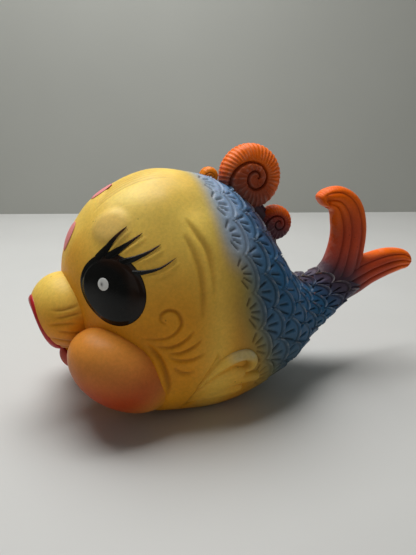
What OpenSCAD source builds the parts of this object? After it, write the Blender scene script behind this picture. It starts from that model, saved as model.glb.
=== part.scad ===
// Squeaky fish bath toy: one hollow vinyl casting with painted face details
// and a push-in squeaker in its belly. The head points to -X, the left side to -Y.

/* [Body] */
// Length from the lips to the tip of the tail
toy_length = 170; // [155:1:185]
// Height of the head above the floor
head_height = 88; // [82:1:94]
// Width of the head
head_width = 76; // [70:1:82]
// Thickness of the vinyl
skin_wall = 3; // [2.6:0.1:3.4]

/* [Scales] */
// Height of a scale's free edge
scale_edge_h = 0.9; // [0.5:0.1:1.2]

/* [Cheeks and mouth] */
// Half length of a cheek
cheek_l = 19; // [17:0.5:21]
// Half width of a cheek
cheek_w = 16.5; // [15:0.5:18]
// Half height of a cheek
cheek_h = 13.2; // [12:0.2:14.4]
// Half length of the snout
snout_l = 13; // [12:0.5:15]
// Half width of the snout
snout_w = 16.5; // [15:0.5:18]
// Half height of the snout
snout_h = 14.2; // [13:0.2:15.4]
// Width of the lip around the mouth
lip_band_w = 3; // [2:0.1:4]
// Depth of the mouth
mouth_depth = 4; // [3:0.1:5]
// How far the lips bow out at their middle
mouth_bulge = 2.4; // [1.5:0.1:3]
// Half width of the lower lip
lower_lip_w = 9.5; // [8:0.5:11]
// How far the lower lip's middle sits below the mouth's middle
lower_lip_drop = 13.9; // [13.5:0.1:14.5]

/* [Back curls] */
// Radius of the big curl
big_curl_r = 13; // [10:0.1:14]
// Thickness of the big curl
big_curl_t = 12; // [10:0.5:13]
// Radius of the rear curl
rear_curl_r = 7.5; // [6:0.1:9]
// Thickness of the rear curl
rear_curl_t = 9.6; // [8:0.2:11]
// Radius of the front curl
front_curl_r = 3.9; // [3:0.1:5]
// Thickness of the front curl
front_curl_t = 7; // [6:0.5:9]
// Depth of the spiral groove in a curl
spiral_depth = 1.2; // [0.8:0.1:1.6]
// Depth of the flutes around a curl's rim
curl_flute_depth = 0.35; // [0.2:0.05:0.5]

/* [Tail] */
// Thickness of the fin's upper lobe in the middle
upper_lobe_t = 9.2; // [8:0.2:11]
// Thickness of the fin's lower lobe in the middle
lower_lobe_t = 8.4; // [7:0.2:10]
// Depth of the flutes along the fin
fin_flute_depth = 0.7; // [0.4:0.05:0.9]

/* [Eyes] */
// Half length of an eye
eye_l = 12.7; // [11:0.1:14]
// Half height of an eye
eye_h = 11.1; // [10:0.1:12]
// Thickness of the eye's enamel in the middle
eye_t = 0.9; // [0.6:0.1:1.2]
// Radius of the white glint
glint_r = 2.3; // [1.8:0.1:3]
// Width of a lash at its root
lash_w = 2.6; // [2:0.1:3]
// Thickness of a thin coat of paint
paint_t = 0.4; // [0.3:0.05:0.6]
// Clearance under a coat of paint
paint_gap = 0.15; // [0.12:0.01:0.2]

/* [Squeaker] */
// Radius of the cup's barrel
cup_r = 9; // [8.6:0.1:9.6]
// Height of the cup
cup_h = 8.4; // [8:0.1:9.5]
// Wall of the cup
cup_wall = 1.1; // [0.9:0.1:1.3]
// Width of the cup's flange outside the barrel
flange_w = 2; // [1.6:0.1:2.4]
// Thickness of the flange and floor
flange_t = 1.2; // [1:0.1:1.5]
// Radius of the air hole
air_hole_r = 1.6; // [1.2:0.1:2]
// Clearance between the cup and the vinyl
cup_gap = 0.1; // [0.05:0.01:0.2]
// Thickness of the vinyl collar around the cup
collar_wall = 3.6; // [3:0.1:4.4]
// Thickness of the reed plate
plate_t = 1.4; // [1.2:0.1:1.8]
// Length of the reed's free part
reed_l = 7.4; // [6.6:0.1:7.8]
// Width of the reed
reed_w = 4.2; // [3.6:0.1:4.6]
// Thickness of the reed
reed_t = 0.3; // [0.25:0.01:0.4]
// Clearance above and below the reed
reed_gap = 0.2; // [0.15:0.01:0.25]
// Clearance of the reed in its slot
slot_gap = 0.35; // [0.3:0.01:0.5]
// Height of the clamp over the reed
clamp_t = 1.4; // [1.2:0.1:2]

/* [Hidden] */
$fn = 48;
overrun = 0.5;

// Sections from the face to the tail root: x as a share of the toy's length, height of the middle
// and half height as shares of the head's height, half width as a share of the head's, tilt in
// degrees, and how much the belly is wider than the back
section_shares = [
    [-0.4306, 0.5455, 0.0068, 0.0160,  0, 0.00],
    [-0.4212, 0.5455, 0.1310, 0.2760,  0, 0.00],
    [-0.3940, 0.5340, 0.2557, 0.5260,  0, 0.02],
    [-0.3350, 0.5230, 0.3860, 0.8030,  0, 0.04],
    [-0.2235, 0.4910, 0.5050, 0.9740,  0, 0.07],
    [-0.0940, 0.4620, 0.4840, 0.9740,  0, 0.08],
    [ 0.0235, 0.4510, 0.3670, 0.7890,  9, 0.12],
    [ 0.1060, 0.3980, 0.2273, 0.4740, 24, 0.16],
    [ 0.1675, 0.3690, 0.1545, 0.3030, 42, 0.15],
    [ 0.2265, 0.3920, 0.1307, 0.2105, 58, 0.08],
    [ 0.2795, 0.4375, 0.1193, 0.1580, 66, 0.03]
];
crown_power = 2;
belly_power = 2.8;
// The scales start on a slanted line behind the gills and end on the tail's root
gill_share = 0.455;
gill_slant_share = 0.035;
scales_end_share = 0.925;
tail_root_share = 0.99;
head_rings = 12;
skin_columns = 80;
// How much longer the last rows are than the middle ones
row_growth_share = 0.47;
// Rows over which the scales reach their full height
row_rise = 2;
// Columns that a scale takes on the edge of each row: fewer and fewer scales go round
scale_columns = [4, 4, 4, 4, 4, 5, 5, 8, 8, 10];
scale_rows = len(scale_columns) - 1;
// How far a scale's edge bulges, as a share of the row before it
scallop_reach_share = 0.62;
probe_share = 0.002;
probe_angle = 1;
// How far ahead and behind the way of a curve is read
way_share = 0.02;

cavity_start_share = 0.07;
cavity_end_share = 0.78;
cavity_rings = 11;
cavity_columns = 20;

half_width = head_width / 2;

// Where the cheeks, snout and lower lip sit, as shares of length, half width and height
cheek_at_shares = [-0.348, 0.618, 0.243];
cheek_tilt = 36;
snout_at_shares = [-0.425, 0, 0.427];
snout_tilt = -20;
mouth_at_shares = [-0.4705, 0, 0.386];
mouth_tilt = 24;
lower_lip_at_share = -0.395;
lower_lip_at = [toy_length * lower_lip_at_share, 0, head_height * mouth_at_shares[2] - lower_lip_drop];
lower_lip_shares = [0.86, 1, 0.62];
lower_lip_radii = lower_lip_w * lower_lip_shares;
mouth_shares = [0.86, 0.6];
mouth_radii = [snout_h * mouth_shares[0], snout_w * mouth_shares[1]];
mouth_bow_r = (pow(mouth_radii[0], 2) + pow(mouth_bulge, 2)) / (2 * mouth_bulge);
lip_paint_share = 0.8;
lip_clear = 2 * paint_gap + paint_t;
// Reach of the lower lip's paint across and up, and how far its middle lies below the lip's
lower_lip_paint_across = 48;
lower_lip_paint_up = 34;
lower_lip_paint_drop = 8;
lower_lip_paint_rings = 5;
lower_lip_paint_spokes = 20;

// Where the curls and the ridge under them sit, as shares of length and height
big_curl_at_shares = [0.0094, 0.949];
rear_curl_at_shares = [0.0765, 0.733];
front_curl_at_shares = [-0.0929, 0.958];
// Angle across a curl's section at which its flat face starts
curl_face_angle = 48;
curl_rings = 5;
curl_power = 3;
// The spiral groove: its start and width across the face, and how shallow it starts
groove_start_share = 0.16;
groove_span_share = 0.46;
groove_rise_share = 0.6;
groove_steps = 20;
ridge_r = 5;
ridge_shares = [
    [-0.145, 0.915, 0.35], [-0.085, 0.885, 0.80], [-0.012, 0.835, 1.00],
    [ 0.035, 0.755, 0.95], [ 0.058, 0.660, 0.80], [ 0.066, 0.570, 0.60]
];

// The tail fin's lobes: x and z of the middle line, half height as a share of the head's height
// and half thickness as a share of the lobe's
upper_lobe_shares = [
    [0.228, 0.386, 0.100, 1.60], [0.268, 0.466, 0.107, 1.25], [0.287, 0.580, 0.101, 1.05],
    [0.291, 0.682, 0.098, 1.00], [0.279, 0.767, 0.091, 0.96], [0.253, 0.820, 0.068, 0.98],
    [0.221, 0.830, 0.048, 0.98], [0.2035, 0.811, 0.034, 0.78]
];
lower_lobe_shares = [
    [0.247, 0.392, 0.100, 1.75], [0.306, 0.426, 0.095, 1.30], [0.359, 0.461, 0.082, 1.08],
    [0.412, 0.486, 0.073, 1.00], [0.456, 0.491, 0.059, 0.80], [0.485, 0.480, 0.039, 0.56],
    [0.501, 0.473, 0.006, 0.12]
];
lobe_flutes = 5;
// Thickness at which the flutes start to fade, and the least that they leave
flute_fade_share = 0.33;
lobe_rings = 12;
lobe_columns = 24;

// The belly fin along the skin: share along the body, angle around it, half width, height
fin_w = 5;
fin_shares = [
    [0.400, -50, 0.30, 0.30], [0.424, -41, 0.75, 0.45], [0.447, -34, 1.10, 0.58],
    [0.470, -28, 1.30, 0.62], [0.491, -25, 1.25, 0.66], [0.507, -25, 0.85, 0.62]
];
fin_tip_shares = [[0.470, -36, 0.60, 0.40], [0.498, -35, 0.78, 0.52], [0.520, -34.5, 0.60, 0.46]];

// Places on the skin: share along the body and angle around it
eye_at_shares = [0.252, 9];
eye_turn = -25;
eye_edge_share = 0.35;
glint_at_shares = [0.247, 12];
eyelid_at_shares = [0.292, 50];
eyelid_l = 7;
eyelid_w = 3.6;
eyelid_t = 1.4;
spot_places_shares = [[0.150, 90, 0.85], [0.305, 90, 1.00]];
spot_l = 5.6;
spot_w = 4.2;
lash_roots_shares = [[0.259, 35.2], [0.290, 31.6], [0.315, 26.4], [0.331, 19.0]];
lash_bends_shares = [[0.292, 38.6], [0.318, 34.0], [0.342, 27.2], [0.357, 19.2]];
lash_tips_shares = [[0.323, 43.2], [0.343, 38.2], [0.367, 30.2], [0.386, 24.0]];
lash_steps = 6;
bend_share = 0.62;
tip_share = 0.12;

// The squeaker: its place along the length, and how far it lies in from the belly
squeaker_at_share = -0.135;
flush_gap = 0.3;
flange_seat = flange_t + flush_gap;
seat_r = cup_r + cup_gap;
flange_r = cup_r + flange_w;
collar_h = cup_h - plate_t;
plate_z = cup_h - plate_t + flush_gap;
reed_z = plate_z + plate_t + reed_gap;
reed_root_l = 2;
clamp_wall = 1;
clamp_w = reed_w + 2 * clamp_wall + 2 * reed_gap;
clamp_l = reed_root_l + reed_gap + clamp_wall;
reed_start = (clamp_l - reed_l) / 2;

// Smooth curve through the rows of a table
function spline(table, share) =
    let (
        n = len(table) - 1,
        s = min(max(share, 0), 1) * n,
        i = min(floor(s), n - 1),
        f = s - i,
        a = table[max(i - 1, 0)],
        b = table[i],
        c = table[i + 1],
        d = table[min(i + 2, n)]
    )
    (2 * b + f * (c - a) + f * f * (2 * a - 5 * b + 4 * c - d) + f * f * f * (3 * b - a - 3 * c + d)) / 2;

// Point of the skin at a share along the body and an angle around it, 0 left and 90 up
function skin_point(share, angle) =
    let (
        s = spline(section_shares, share),
        power = sin(angle) < 0 ? belly_power : crown_power,
        r = pow(pow(abs(cos(angle)), power) + pow(abs(sin(angle)), power), -1 / power),
        up = head_height * s[2] * r * sin(angle),
        side = half_width * s[3] * r * cos(angle) * (1 - s[5] * r * sin(angle))
    )
    [toy_length * s[0] - up * sin(s[4]), -side, head_height * s[1] + up * cos(s[4])];

function skin_normal(share, angle) =
    let (
        p = skin_point(share, angle),
        along = skin_point(share + probe_share, angle) - p,
        around = skin_point(share, angle + probe_angle) - p,
        n = cross(along, around)
    )
    n / norm(n);

function skin_at(share, angle, out) = skin_point(share, angle) + out * skin_normal(share, angle);

// Point on an egg-shaped lump, tilted about the Y axis
function lump_point(at, radii, tilt, lon, lat, out) =
    let (
        x = (radii[0] + out) * cos(lat) * cos(lon),
        y = (radii[1] + out) * cos(lat) * sin(lon),
        z = (radii[2] + out) * sin(lat)
    )
    at + [x * cos(tilt) + z * sin(tilt), y, z * cos(tilt) - x * sin(tilt)];

// A closed solid from rings of points, each ring anticlockwise seen from its start
module ring_solid(rings) {
    n = len(rings[0]);
    last = (len(rings) - 1) * n;
    walls = [
        for (i = [0 : len(rings) - 2], j = [0 : n - 1])
            let (a = i * n + j, b = i * n + (j + 1) % n)
            each [[a, b, b + n], [a, b + n, a + n]]
    ];
    caps = [[for (j = [n - 1 : -1 : 0]) j], [for (j = [0 : n - 1]) last + j]];
    polyhedron([for (ring = rings) each ring], concat(walls, caps), convexity = 8);
}

module lump(at, radii, tilt, lons, lats) {
    bottom = -90 + 90 / lats;
    step = (180 - 180 / lats) / (lats - 1);
    ring_solid([
        for (i = [0 : lats - 1])
            [for (j = [0 : lons - 1]) lump_point(at, radii, tilt, -j * 360 / lons, bottom + i * step, 0)]
    ]);
}

// Scales: share along the body of a row's edge, and the round edges that it follows
function row_share(row) =
    let (f = row / scale_rows)
    gill_share + (scales_end_share - gill_share) * f * (1 + row_growth_share * (f - 1));

function row_edge(row, column) =
    let (
        columns = scale_columns[row],
        shift = row % 2 == 0 ? 0 : columns / 2,
        across = ((column + shift) % columns) / columns,
        reach = scallop_reach_share * (row_share(row) - row_share(max(row - 1, 0))),
        slant = gill_slant_share * (1 - sin(column_angle(column))) * (1 - row / scale_rows)
    )
    row_share(row) + slant + reach * sqrt(1 - pow(2 * across - 1, 2));

function column_angle(column) = column * 360 / skin_columns;

module scaled_skin() {
    last = skin_columns - 1;
    head = [
        for (i = [0 : head_rings - 1])
            [for (j = [0 : last]) skin_point(i / head_rings * row_edge(0, j), column_angle(j))]
    ];
    rows = [
        for (row = [0 : scale_rows - 1])
            let (height = scale_edge_h * min(1, (row + 1) / row_rise))
            each [
                [for (j = [0 : last]) skin_point(row_edge(row, j), column_angle(j))],
                [for (j = [0 : last]) skin_at(row_edge(row + 1, j) - probe_share, column_angle(j), height)]
            ]
    ];
    root = [
        for (end = [0, 1])
            [
                for (j = [0 : last])
                    let (share = end == 0 ? row_edge(scale_rows, j) : tail_root_share)
                    skin_point(share, column_angle(j))
            ]
    ];
    ring_solid(concat(head, rows, root));
}

module skin_cavity() {
    span = cavity_end_share - cavity_start_share;
    ring_solid([
        for (i = [0 : cavity_rings - 1])
            [
                for (j = [0 : cavity_columns - 1])
                    skin_at(
                        cavity_start_share + span * i / (cavity_rings - 1),
                        j * 360 / cavity_columns,
                        -skin_wall
                    )
            ]
    ]);
}

function place(shares) = [toy_length * shares[0], half_width * shares[1], head_height * shares[2]];

module cheek(shrink, lons, lats) {
    lump(
        place(cheek_at_shares),
        [cheek_l - shrink, cheek_w - shrink, cheek_h - shrink],
        cheek_tilt, lons, lats
    );
}

module snout(shrink, lons, lats) {
    lump(
        place(snout_at_shares),
        [snout_l - shrink, snout_w - shrink, snout_h - shrink],
        snout_tilt, lons, lats
    );
}

module lower_lip() {
    lump(lower_lip_at, lower_lip_radii, 0, 16, 8);
}

// The mouth's opening leans forward and down
module at_mouth() {
    translate(place(mouth_at_shares)) rotate([0, -90 - mouth_tilt, 0]) children();
}

// The lips bow out between the top and the bottom of the mouth
module mouth_bow(lift) {
    translate([0, 0, mouth_bulge - mouth_bow_r]) rotate([90, 0, 0])
        cylinder(r = mouth_bow_r + lift, h = 4 * snout_w, center = true);
}

module open_snout() {
    difference() {
        snout(0, 20, 12);
        at_mouth() {
            difference() {
                translate([-2 * snout_h, -2 * snout_w, -mouth_bulge]) cube([4 * snout_h, 4 * snout_w, 2 * snout_l]);
                mouth_bow(0);
            }
            translate([0, 0, mouth_bulge])
                lump([0, 0, 0], [mouth_radii[0] - lip_band_w, mouth_radii[1] - lip_band_w, mouth_depth], 0, 16, 8);
        }
    }
}

// How far a curl's rounded square section reaches at an angle
function curl_corner(angle) =
    pow(pow(abs(cos(angle)), curl_power) + pow(abs(sin(angle)), curl_power), -1 / curl_power);

// A curl: a fat fluted disc standing along the body
module curl_disc(at_shares, radius, thickness, flutes, columns_each) {
    columns = flutes * columns_each;
    ring_solid([
        for (i = [0 : curl_rings - 1])
            let (
                angle = curl_face_angle * (2 * i / (curl_rings - 1) - 1),
                k = curl_corner(angle),
                r = radius * k * cos(angle),
                y = thickness / 2 * k * sin(angle)
            )
            [
                for (j = [0 : columns - 1])
                    let (
                        turn = -j * 360 / columns,
                        groove = curl_flute_depth * (j % columns_each == 0 ? 1 : 0) * max(0, 2 * r / radius - 1)
                    )
                    [
                        toy_length * at_shares[0] + (r - groove) * sin(turn),
                        y,
                        head_height * at_shares[1] + (r - groove) * cos(turn)
                    ]
            ]
    ]);
}

// The spiral groove in a curl's face, a ribbon of triangular section
module spiral_groove(at_shares, radius, thickness, turns) {
    face_y = thickness / 2 * curl_corner(curl_face_angle) * sin(curl_face_angle);
    half = spiral_depth * radius / big_curl_r;
    ring_solid([
        for (i = [0 : groove_steps])
            let (
                f = i / groove_steps,
                angle = 360 * turns * f,
                r = radius * (groove_start_share + groove_span_share * f),
                depth = half * (groove_rise_share + (1 - groove_rise_share) * f)
            )
            [
                for (p = [[-half, 0], [0, 1], [half, 0]])
                    [
                        toy_length * at_shares[0] - (r + p[0]) * sin(angle),
                        -face_y - overrun + p[1] * (depth + overrun),
                        head_height * at_shares[1] - (r + p[0]) * cos(angle)
                    ]
            ]
    ]);
}

module curl(at_shares, radius, thickness, flutes, columns_each, turns) {
    difference() {
        curl_disc(at_shares, radius, thickness, flutes, columns_each);
        spiral_groove(at_shares, radius, thickness, turns);
        mirror([0, 1, 0]) spiral_groove(at_shares, radius, thickness, turns);
    }
}

// A flattened tube along a middle line in the upright plane
function blade_ring(row, ahead, thickness, flutes, flute_depth, columns) =
    let (
        way = ahead / norm(ahead),
        across = [-way[1], way[0]],
        thick = row[3],
        fade = min(1, thick / (flute_fade_share * thickness))
    )
    [
        for (j = [0 : columns - 1])
            let (
                a = j * 360 / columns,
                ripple = flute_depth * (1 - cos(2 * flutes * 90 * (1 - cos(a)))) / 2,
                y = max(thick - ripple * fade, thick / 3) * sin(a)
            )
            [row[0] + across[0] * row[2] * cos(a), y, row[1] + across[1] * row[2] * cos(a)]
    ];

module blade(table, thickness, flutes, flute_depth, rings, columns) {
    mm = [
        for (row = table)
            [toy_length * row[0], head_height * row[1], head_height * row[2], thickness / 2 * row[3]]
    ];
    ring_solid([
        for (i = [0 : rings])
            let (
                row = spline(mm, i / rings),
                back = spline(mm, max(i / rings - way_share, 0)),
                front = spline(mm, min(i / rings + way_share, 1)),
                ahead = [front[0] - back[0], front[1] - back[1]]
            )
            blade_ring(row, ahead, thickness, flutes, flute_depth, columns)
    ]);
}

module back_ridge() {
    table = [for (row = ridge_shares) [row[0], row[1], row[2] * ridge_r / head_height, row[2]]];
    blade(table, 2 * ridge_r, 1, 0, 10, 12);
}

// A raised band along the skin
module skin_band(table, width, rings, columns) {
    ring_solid([
        for (i = [0 : rings])
            let (
                row = spline(table, i / rings),
                next = spline(table, min(i / rings + way_share, 1)),
                last = spline(table, max(i / rings - way_share, 0)),
                up = skin_normal(row[0], row[1]),
                way = skin_point(next[0], next[1]) - skin_point(last[0], last[1]),
                side = cross(up, way) / norm(cross(up, way))
            )
            [
                for (j = [0 : columns - 1])
                    let (a = -j * 360 / columns)
                    skin_point(row[0], row[1])
                        + side * width * row[2] * cos(a) + up * width * row[3] * sin(a)
            ]
    ]);
}

module belly_fin() {
    skin_band(fin_shares, fin_w, 12, 10);
    skin_band(fin_tip_shares, fin_w, 6, 10);
}

// A coat or pad on the skin: an oval of a given size, thinner at its edge
function patch_point(at, size, turn, ring, spoke, out) =
    let (
        per_share = norm(skin_point(at[0] + probe_share, at[1]) - skin_point(at[0], at[1])) / probe_share,
        per_degree = norm(skin_point(at[0], at[1] + probe_angle) - skin_point(at[0], at[1])) / probe_angle,
        s = size[0] * ring * cos(spoke),
        t = size[1] * ring * sin(spoke)
    )
    skin_at(
        at[0] + (s * cos(turn) - t * sin(turn)) / per_share,
        at[1] + (s * sin(turn) + t * cos(turn)) / per_degree,
        out
    );

module skin_patch(at, size, turn, gap, edge_t, middle_t, rings, spokes) {
    inner = [
        for (i = [1 : rings])
            [for (j = [0 : spokes - 1]) patch_point(at, size, turn, i / rings, -j * 360 / spokes, gap)]
    ];
    outer = [
        for (i = [rings : -1 : 1])
            let (t = edge_t + (middle_t - edge_t) * (1 - pow(i / rings, 2)))
            [for (j = [0 : spokes - 1]) patch_point(at, size, turn, i / rings, -j * 360 / spokes, gap + t)]
    ];
    ring_solid(concat(inner, outer));
}

module eyelid() {
    skin_patch(eyelid_at_shares, [eyelid_l, eyelid_w], 0, -eyelid_t, eyelid_t, 2 * eyelid_t, 3, 14);
}

module at_squeaker() {
    translate([toy_length * squeaker_at_share, 0, 0]) children();
}

module squeaker_collar() {
    at_squeaker() cylinder(r = seat_r + collar_wall, h = collar_h);
}

module squeaker_seat() {
    at_squeaker() translate([0, 0, -overrun]) {
        cylinder(r = seat_r, h = cup_h + 4 * skin_wall);
        cylinder(r = flange_r + cup_gap, h = flange_seat + overrun);
    }
}

module skin_shell() {
    difference() {
        union() {
            scaled_skin();
            cheek(0, 20, 12);
            mirror([0, 1, 0]) cheek(0, 20, 12);
            open_snout();
            lower_lip();
            back_ridge();
            belly_fin();
            mirror([0, 1, 0]) belly_fin();
            eyelid();
            mirror([0, 1, 0]) eyelid();
            curl(big_curl_at_shares, big_curl_r, big_curl_t, 30, 2, 1.6);
            curl(rear_curl_at_shares, rear_curl_r, rear_curl_t, 22, 2, 1.4);
            curl_disc(front_curl_at_shares, front_curl_r, front_curl_t, 12, 2);
            blade(upper_lobe_shares, upper_lobe_t, lobe_flutes, fin_flute_depth, lobe_rings, lobe_columns);
            blade(lower_lobe_shares, lower_lobe_t, lobe_flutes, fin_flute_depth, lobe_rings, lobe_columns);
        }
        difference() {
            union() {
                skin_cavity();
                cheek(skin_wall, 12, 8);
                mirror([0, 1, 0]) cheek(skin_wall, 12, 8);
            }
            squeaker_collar();
        }
    }
}

module body_skin() {
    color("goldenrod")
        difference() {
            skin_shell();
            squeaker_seat();
            translate([-toy_length, -head_width, -head_height])
                cube([2 * toy_length, 2 * head_width, head_height]);
        }
}

// The enamel stops clear of the cheek below it
module eye() {
    difference() {
        skin_patch(eye_at_shares, [eye_l, eye_h], eye_turn, paint_gap, eye_edge_share * eye_t, eye_t, 5, 26);
        mirror([0, 1, 0]) cheek(-paint_gap, 20, 12);
    }
}

module left_eye() {
    color("black") eye();
}

module right_eye() {
    color("black") mirror([0, 1, 0]) eye();
}

module glint() {
    skin_patch(glint_at_shares, [glint_r, glint_r], 0, 2 * paint_gap + eye_t, paint_t / 2, paint_t, 2, 16);
}

module left_glint() {
    color("white") glint();
}

module right_glint() {
    color("white") mirror([0, 1, 0]) glint();
}

// The lashes start clear of the eye's edge
module lashes() {
    clear = [eye_l + paint_gap, eye_h + paint_gap];
    difference() {
        for (i = [0 : len(lash_roots_shares) - 1])
            lash([
                concat(lash_roots_shares[i], 1),
                concat(lash_bends_shares[i], bend_share),
                concat(lash_tips_shares[i], tip_share)
            ]);
        skin_patch(eye_at_shares, clear, eye_turn, 0, eye_t, eye_t, 3, 26);
    }
}

// One lash: a band on the skin that thins to a point
module lash(table) {
    ring_solid([
        for (i = [0 : lash_steps])
            let (
                row = spline(table, i / lash_steps),
                next = spline(table, min(i / lash_steps + way_share, 1)),
                last = spline(table, max(i / lash_steps - way_share, 0)),
                up = skin_normal(row[0], row[1]),
                way = skin_point(next[0], next[1]) - skin_point(last[0], last[1]),
                side = cross(up, way) / norm(cross(up, way)),
                half = lash_w / 2 * row[2]
            )
            [
                for (p = [[1, 0], [-1, 0], [-1, 1], [1, 1]])
                    skin_point(row[0], row[1]) + side * half * p[0] + up * (paint_gap + paint_t * p[1])
            ]
    ]);
}

module left_lashes() {
    color("black") lashes();
}

module right_lashes() {
    color("black") mirror([0, 1, 0]) lashes();
}

module lip_line() {
    inner = mouth_radii - lip_paint_share * lip_band_w * [1, 1];
    color("crimson") difference() {
        at_mouth() intersection() {
            linear_extrude(4 * mouth_bulge, center = true) difference() {
                scale(mouth_radii) circle(r = 1);
                scale(inner) circle(r = 1);
            }
            difference() {
                mouth_bow(paint_gap + paint_t);
                mouth_bow(paint_gap);
            }
        }
        lump(lower_lip_at, lower_lip_radii + lip_clear * [1, 1, 1], 0, 16, 8);
    }
}

module lower_lip_paint() {
    count = lower_lip_paint_rings;
    color("hotpink") ring_solid([
        for (layer = [0 : 1], i = [0 : count - 1])
            let (reach = (layer == 0 ? i + 1 : count - i) / count)
            [
                for (j = [0 : lower_lip_paint_spokes - 1])
                    let (
                        spoke = j * 360 / lower_lip_paint_spokes,
                        lon = 180 + lower_lip_paint_across * reach * cos(spoke),
                        lat = -lower_lip_paint_up * reach * sin(spoke) - lower_lip_paint_drop
                    )
                    lump_point(
                        lower_lip_at, lower_lip_radii, 0, lon, lat, paint_gap + layer * paint_t
                    )
            ]
    ]);
}

module forehead_spots() {
    color("deeppink") for (s = spot_places_shares)
        skin_patch([s[0], s[1]], [spot_l * s[2], spot_w * s[2]], 0, paint_gap, paint_t / 2, paint_t, 3, 20);
}

module squeaker_cup() {
    color("ivory") at_squeaker() translate([0, 0, flush_gap]) difference() {
        union() {
            cylinder(r = flange_r, h = flange_t);
            cylinder(r = cup_r, h = cup_h);
        }
        translate([0, 0, flange_t]) cylinder(r = cup_r - 2 * cup_wall, h = cup_h);
        translate([0, 0, collar_h]) cylinder(r = cup_r - cup_wall, h = cup_h);
        translate([0, 0, -overrun]) cylinder(r = air_hole_r, h = flange_t + 2 * overrun);
    }
}

module reed_plate() {
    color("whitesmoke") at_squeaker() translate([0, 0, plate_z]) difference() {
        cylinder(r = cup_r - cup_wall - cup_gap / 2, h = plate_t);
        translate([reed_start + slot_gap, -reed_w / 2 - slot_gap, -overrun])
            cube([reed_l + slot_gap, reed_w + 2 * slot_gap, plate_t + 2 * overrun]);
    }
}

module reed() {
    color("goldenrod") at_squeaker()
        translate([reed_start - reed_root_l, -reed_w / 2, reed_z])
            cube([reed_root_l + reed_l, reed_w, reed_t]);
}

module reed_clamp() {
    color("lightgray") at_squeaker() translate([reed_start - clamp_l, -clamp_w / 2, plate_z + plate_t])
        difference() {
            cube([clamp_l, clamp_w, 2 * reed_gap + reed_t + clamp_t]);
            translate([clamp_wall, clamp_wall, -overrun])
                cube([clamp_l, clamp_w - 2 * clamp_wall, 2 * reed_gap + reed_t + overrun]);
        }
}

body_skin();
left_eye();
right_eye();
left_glint();
right_glint();
left_lashes();
right_lashes();
lip_line();
lower_lip_paint();
forehead_spots();
squeaker_cup();
reed_plate();
reed();
reed_clamp();
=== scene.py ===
"""Looks of a soft vinyl squeeze fish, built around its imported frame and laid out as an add-on."""

import math

import bmesh
import bpy
import numpy as np
from mathutils import Matrix, Vector


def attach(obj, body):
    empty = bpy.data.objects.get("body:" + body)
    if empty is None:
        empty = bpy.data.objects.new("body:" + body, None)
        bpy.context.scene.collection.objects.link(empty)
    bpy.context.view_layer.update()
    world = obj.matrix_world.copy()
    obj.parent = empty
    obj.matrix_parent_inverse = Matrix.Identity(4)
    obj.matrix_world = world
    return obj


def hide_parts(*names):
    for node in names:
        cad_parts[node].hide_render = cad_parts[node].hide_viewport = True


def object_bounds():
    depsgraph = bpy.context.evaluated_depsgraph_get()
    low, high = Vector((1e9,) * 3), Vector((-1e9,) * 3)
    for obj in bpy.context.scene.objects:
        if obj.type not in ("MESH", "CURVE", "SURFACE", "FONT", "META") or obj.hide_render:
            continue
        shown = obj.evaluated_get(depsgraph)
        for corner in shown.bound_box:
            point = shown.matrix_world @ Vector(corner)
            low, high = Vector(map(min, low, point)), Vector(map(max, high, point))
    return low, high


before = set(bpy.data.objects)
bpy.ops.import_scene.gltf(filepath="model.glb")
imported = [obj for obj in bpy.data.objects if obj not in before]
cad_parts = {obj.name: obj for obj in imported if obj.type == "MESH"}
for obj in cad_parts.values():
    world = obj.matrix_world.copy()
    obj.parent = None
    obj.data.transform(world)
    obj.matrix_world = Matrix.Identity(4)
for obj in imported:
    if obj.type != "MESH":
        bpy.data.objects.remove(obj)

bl_info = {
    "name": "Vinyl Squeeze Fish",
    "version": (1, 0, 0),
    "blender": (4, 5, 0),
    "location": "View3D > Sidebar > Fish",
    "description": "Models and paints a hollow vinyl squeeze fish with curls, scales and a belly squeaker",
    "category": "Object",
}

CAD_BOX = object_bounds()
BODY = "fish"
MM = 0.001
SKIN_SLOT = "vinyl"

# Sections from the face to the tail root: x as a share of the length, height of the middle and half
# height as shares of the head's height, half width as a share of the head's, tilt, and belly fullness
SECTION_SHARES = [
    [-0.4306, 0.5455, 0.0068, 0.0160, 0, 0.00],
    [-0.4212, 0.5455, 0.1310, 0.2760, 0, 0.00],
    [-0.3940, 0.5340, 0.2557, 0.5260, 0, 0.02],
    [-0.3350, 0.5230, 0.3860, 0.8030, 0, 0.04],
    [-0.2235, 0.4910, 0.5050, 0.9740, 0, 0.07],
    [-0.0940, 0.4620, 0.4840, 0.9740, 0, 0.08],
    [0.0235, 0.4510, 0.3670, 0.7890, 9, 0.12],
    [0.1060, 0.3980, 0.2273, 0.4740, 24, 0.16],
    [0.1675, 0.3690, 0.1545, 0.3030, 42, 0.15],
    [0.2265, 0.3920, 0.1307, 0.2105, 58, 0.08],
    [0.2795, 0.4375, 0.1193, 0.1580, 66, 0.03],
]
# Roundness of a section above and below its middle: 2 is an ellipse, more is squarer
CROWN_POWER = 2.0
BELLY_POWER = 2.8
# Steps along and around the skin that its slopes are measured over
PROBE_SHARE = 0.002
PROBE_ANGLE = 1.0
# Widest gap in metres that a seam is sewn over
SEAM = 1e-6
# Widest place of skin and fins in metres from the middle line
SIDE_LIMIT = 0.0404
# Shares where head and flanks meet, where flanks and tail root meet, and where the tail root ends
JOIN_SHARE = 0.45
WAIST_SHARE = 0.70
TAIL_ROOT_SHARE = 0.985

# Rows of scales: where they start and end, and how many go round at each row's edge
GILL_SHARE = 0.455
GILL_SLANT_SHARE = 0.035
SCALES_END_SHARE = 0.925
ROW_GROWTH_SHARE = 0.47
SCALLOP_REACH_SHARE = 0.62
SCALES_ROUND = [20, 20, 20, 20, 20, 16, 16, 10, 10, 8]
ROWS = len(SCALES_ROUND) - 1
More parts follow.
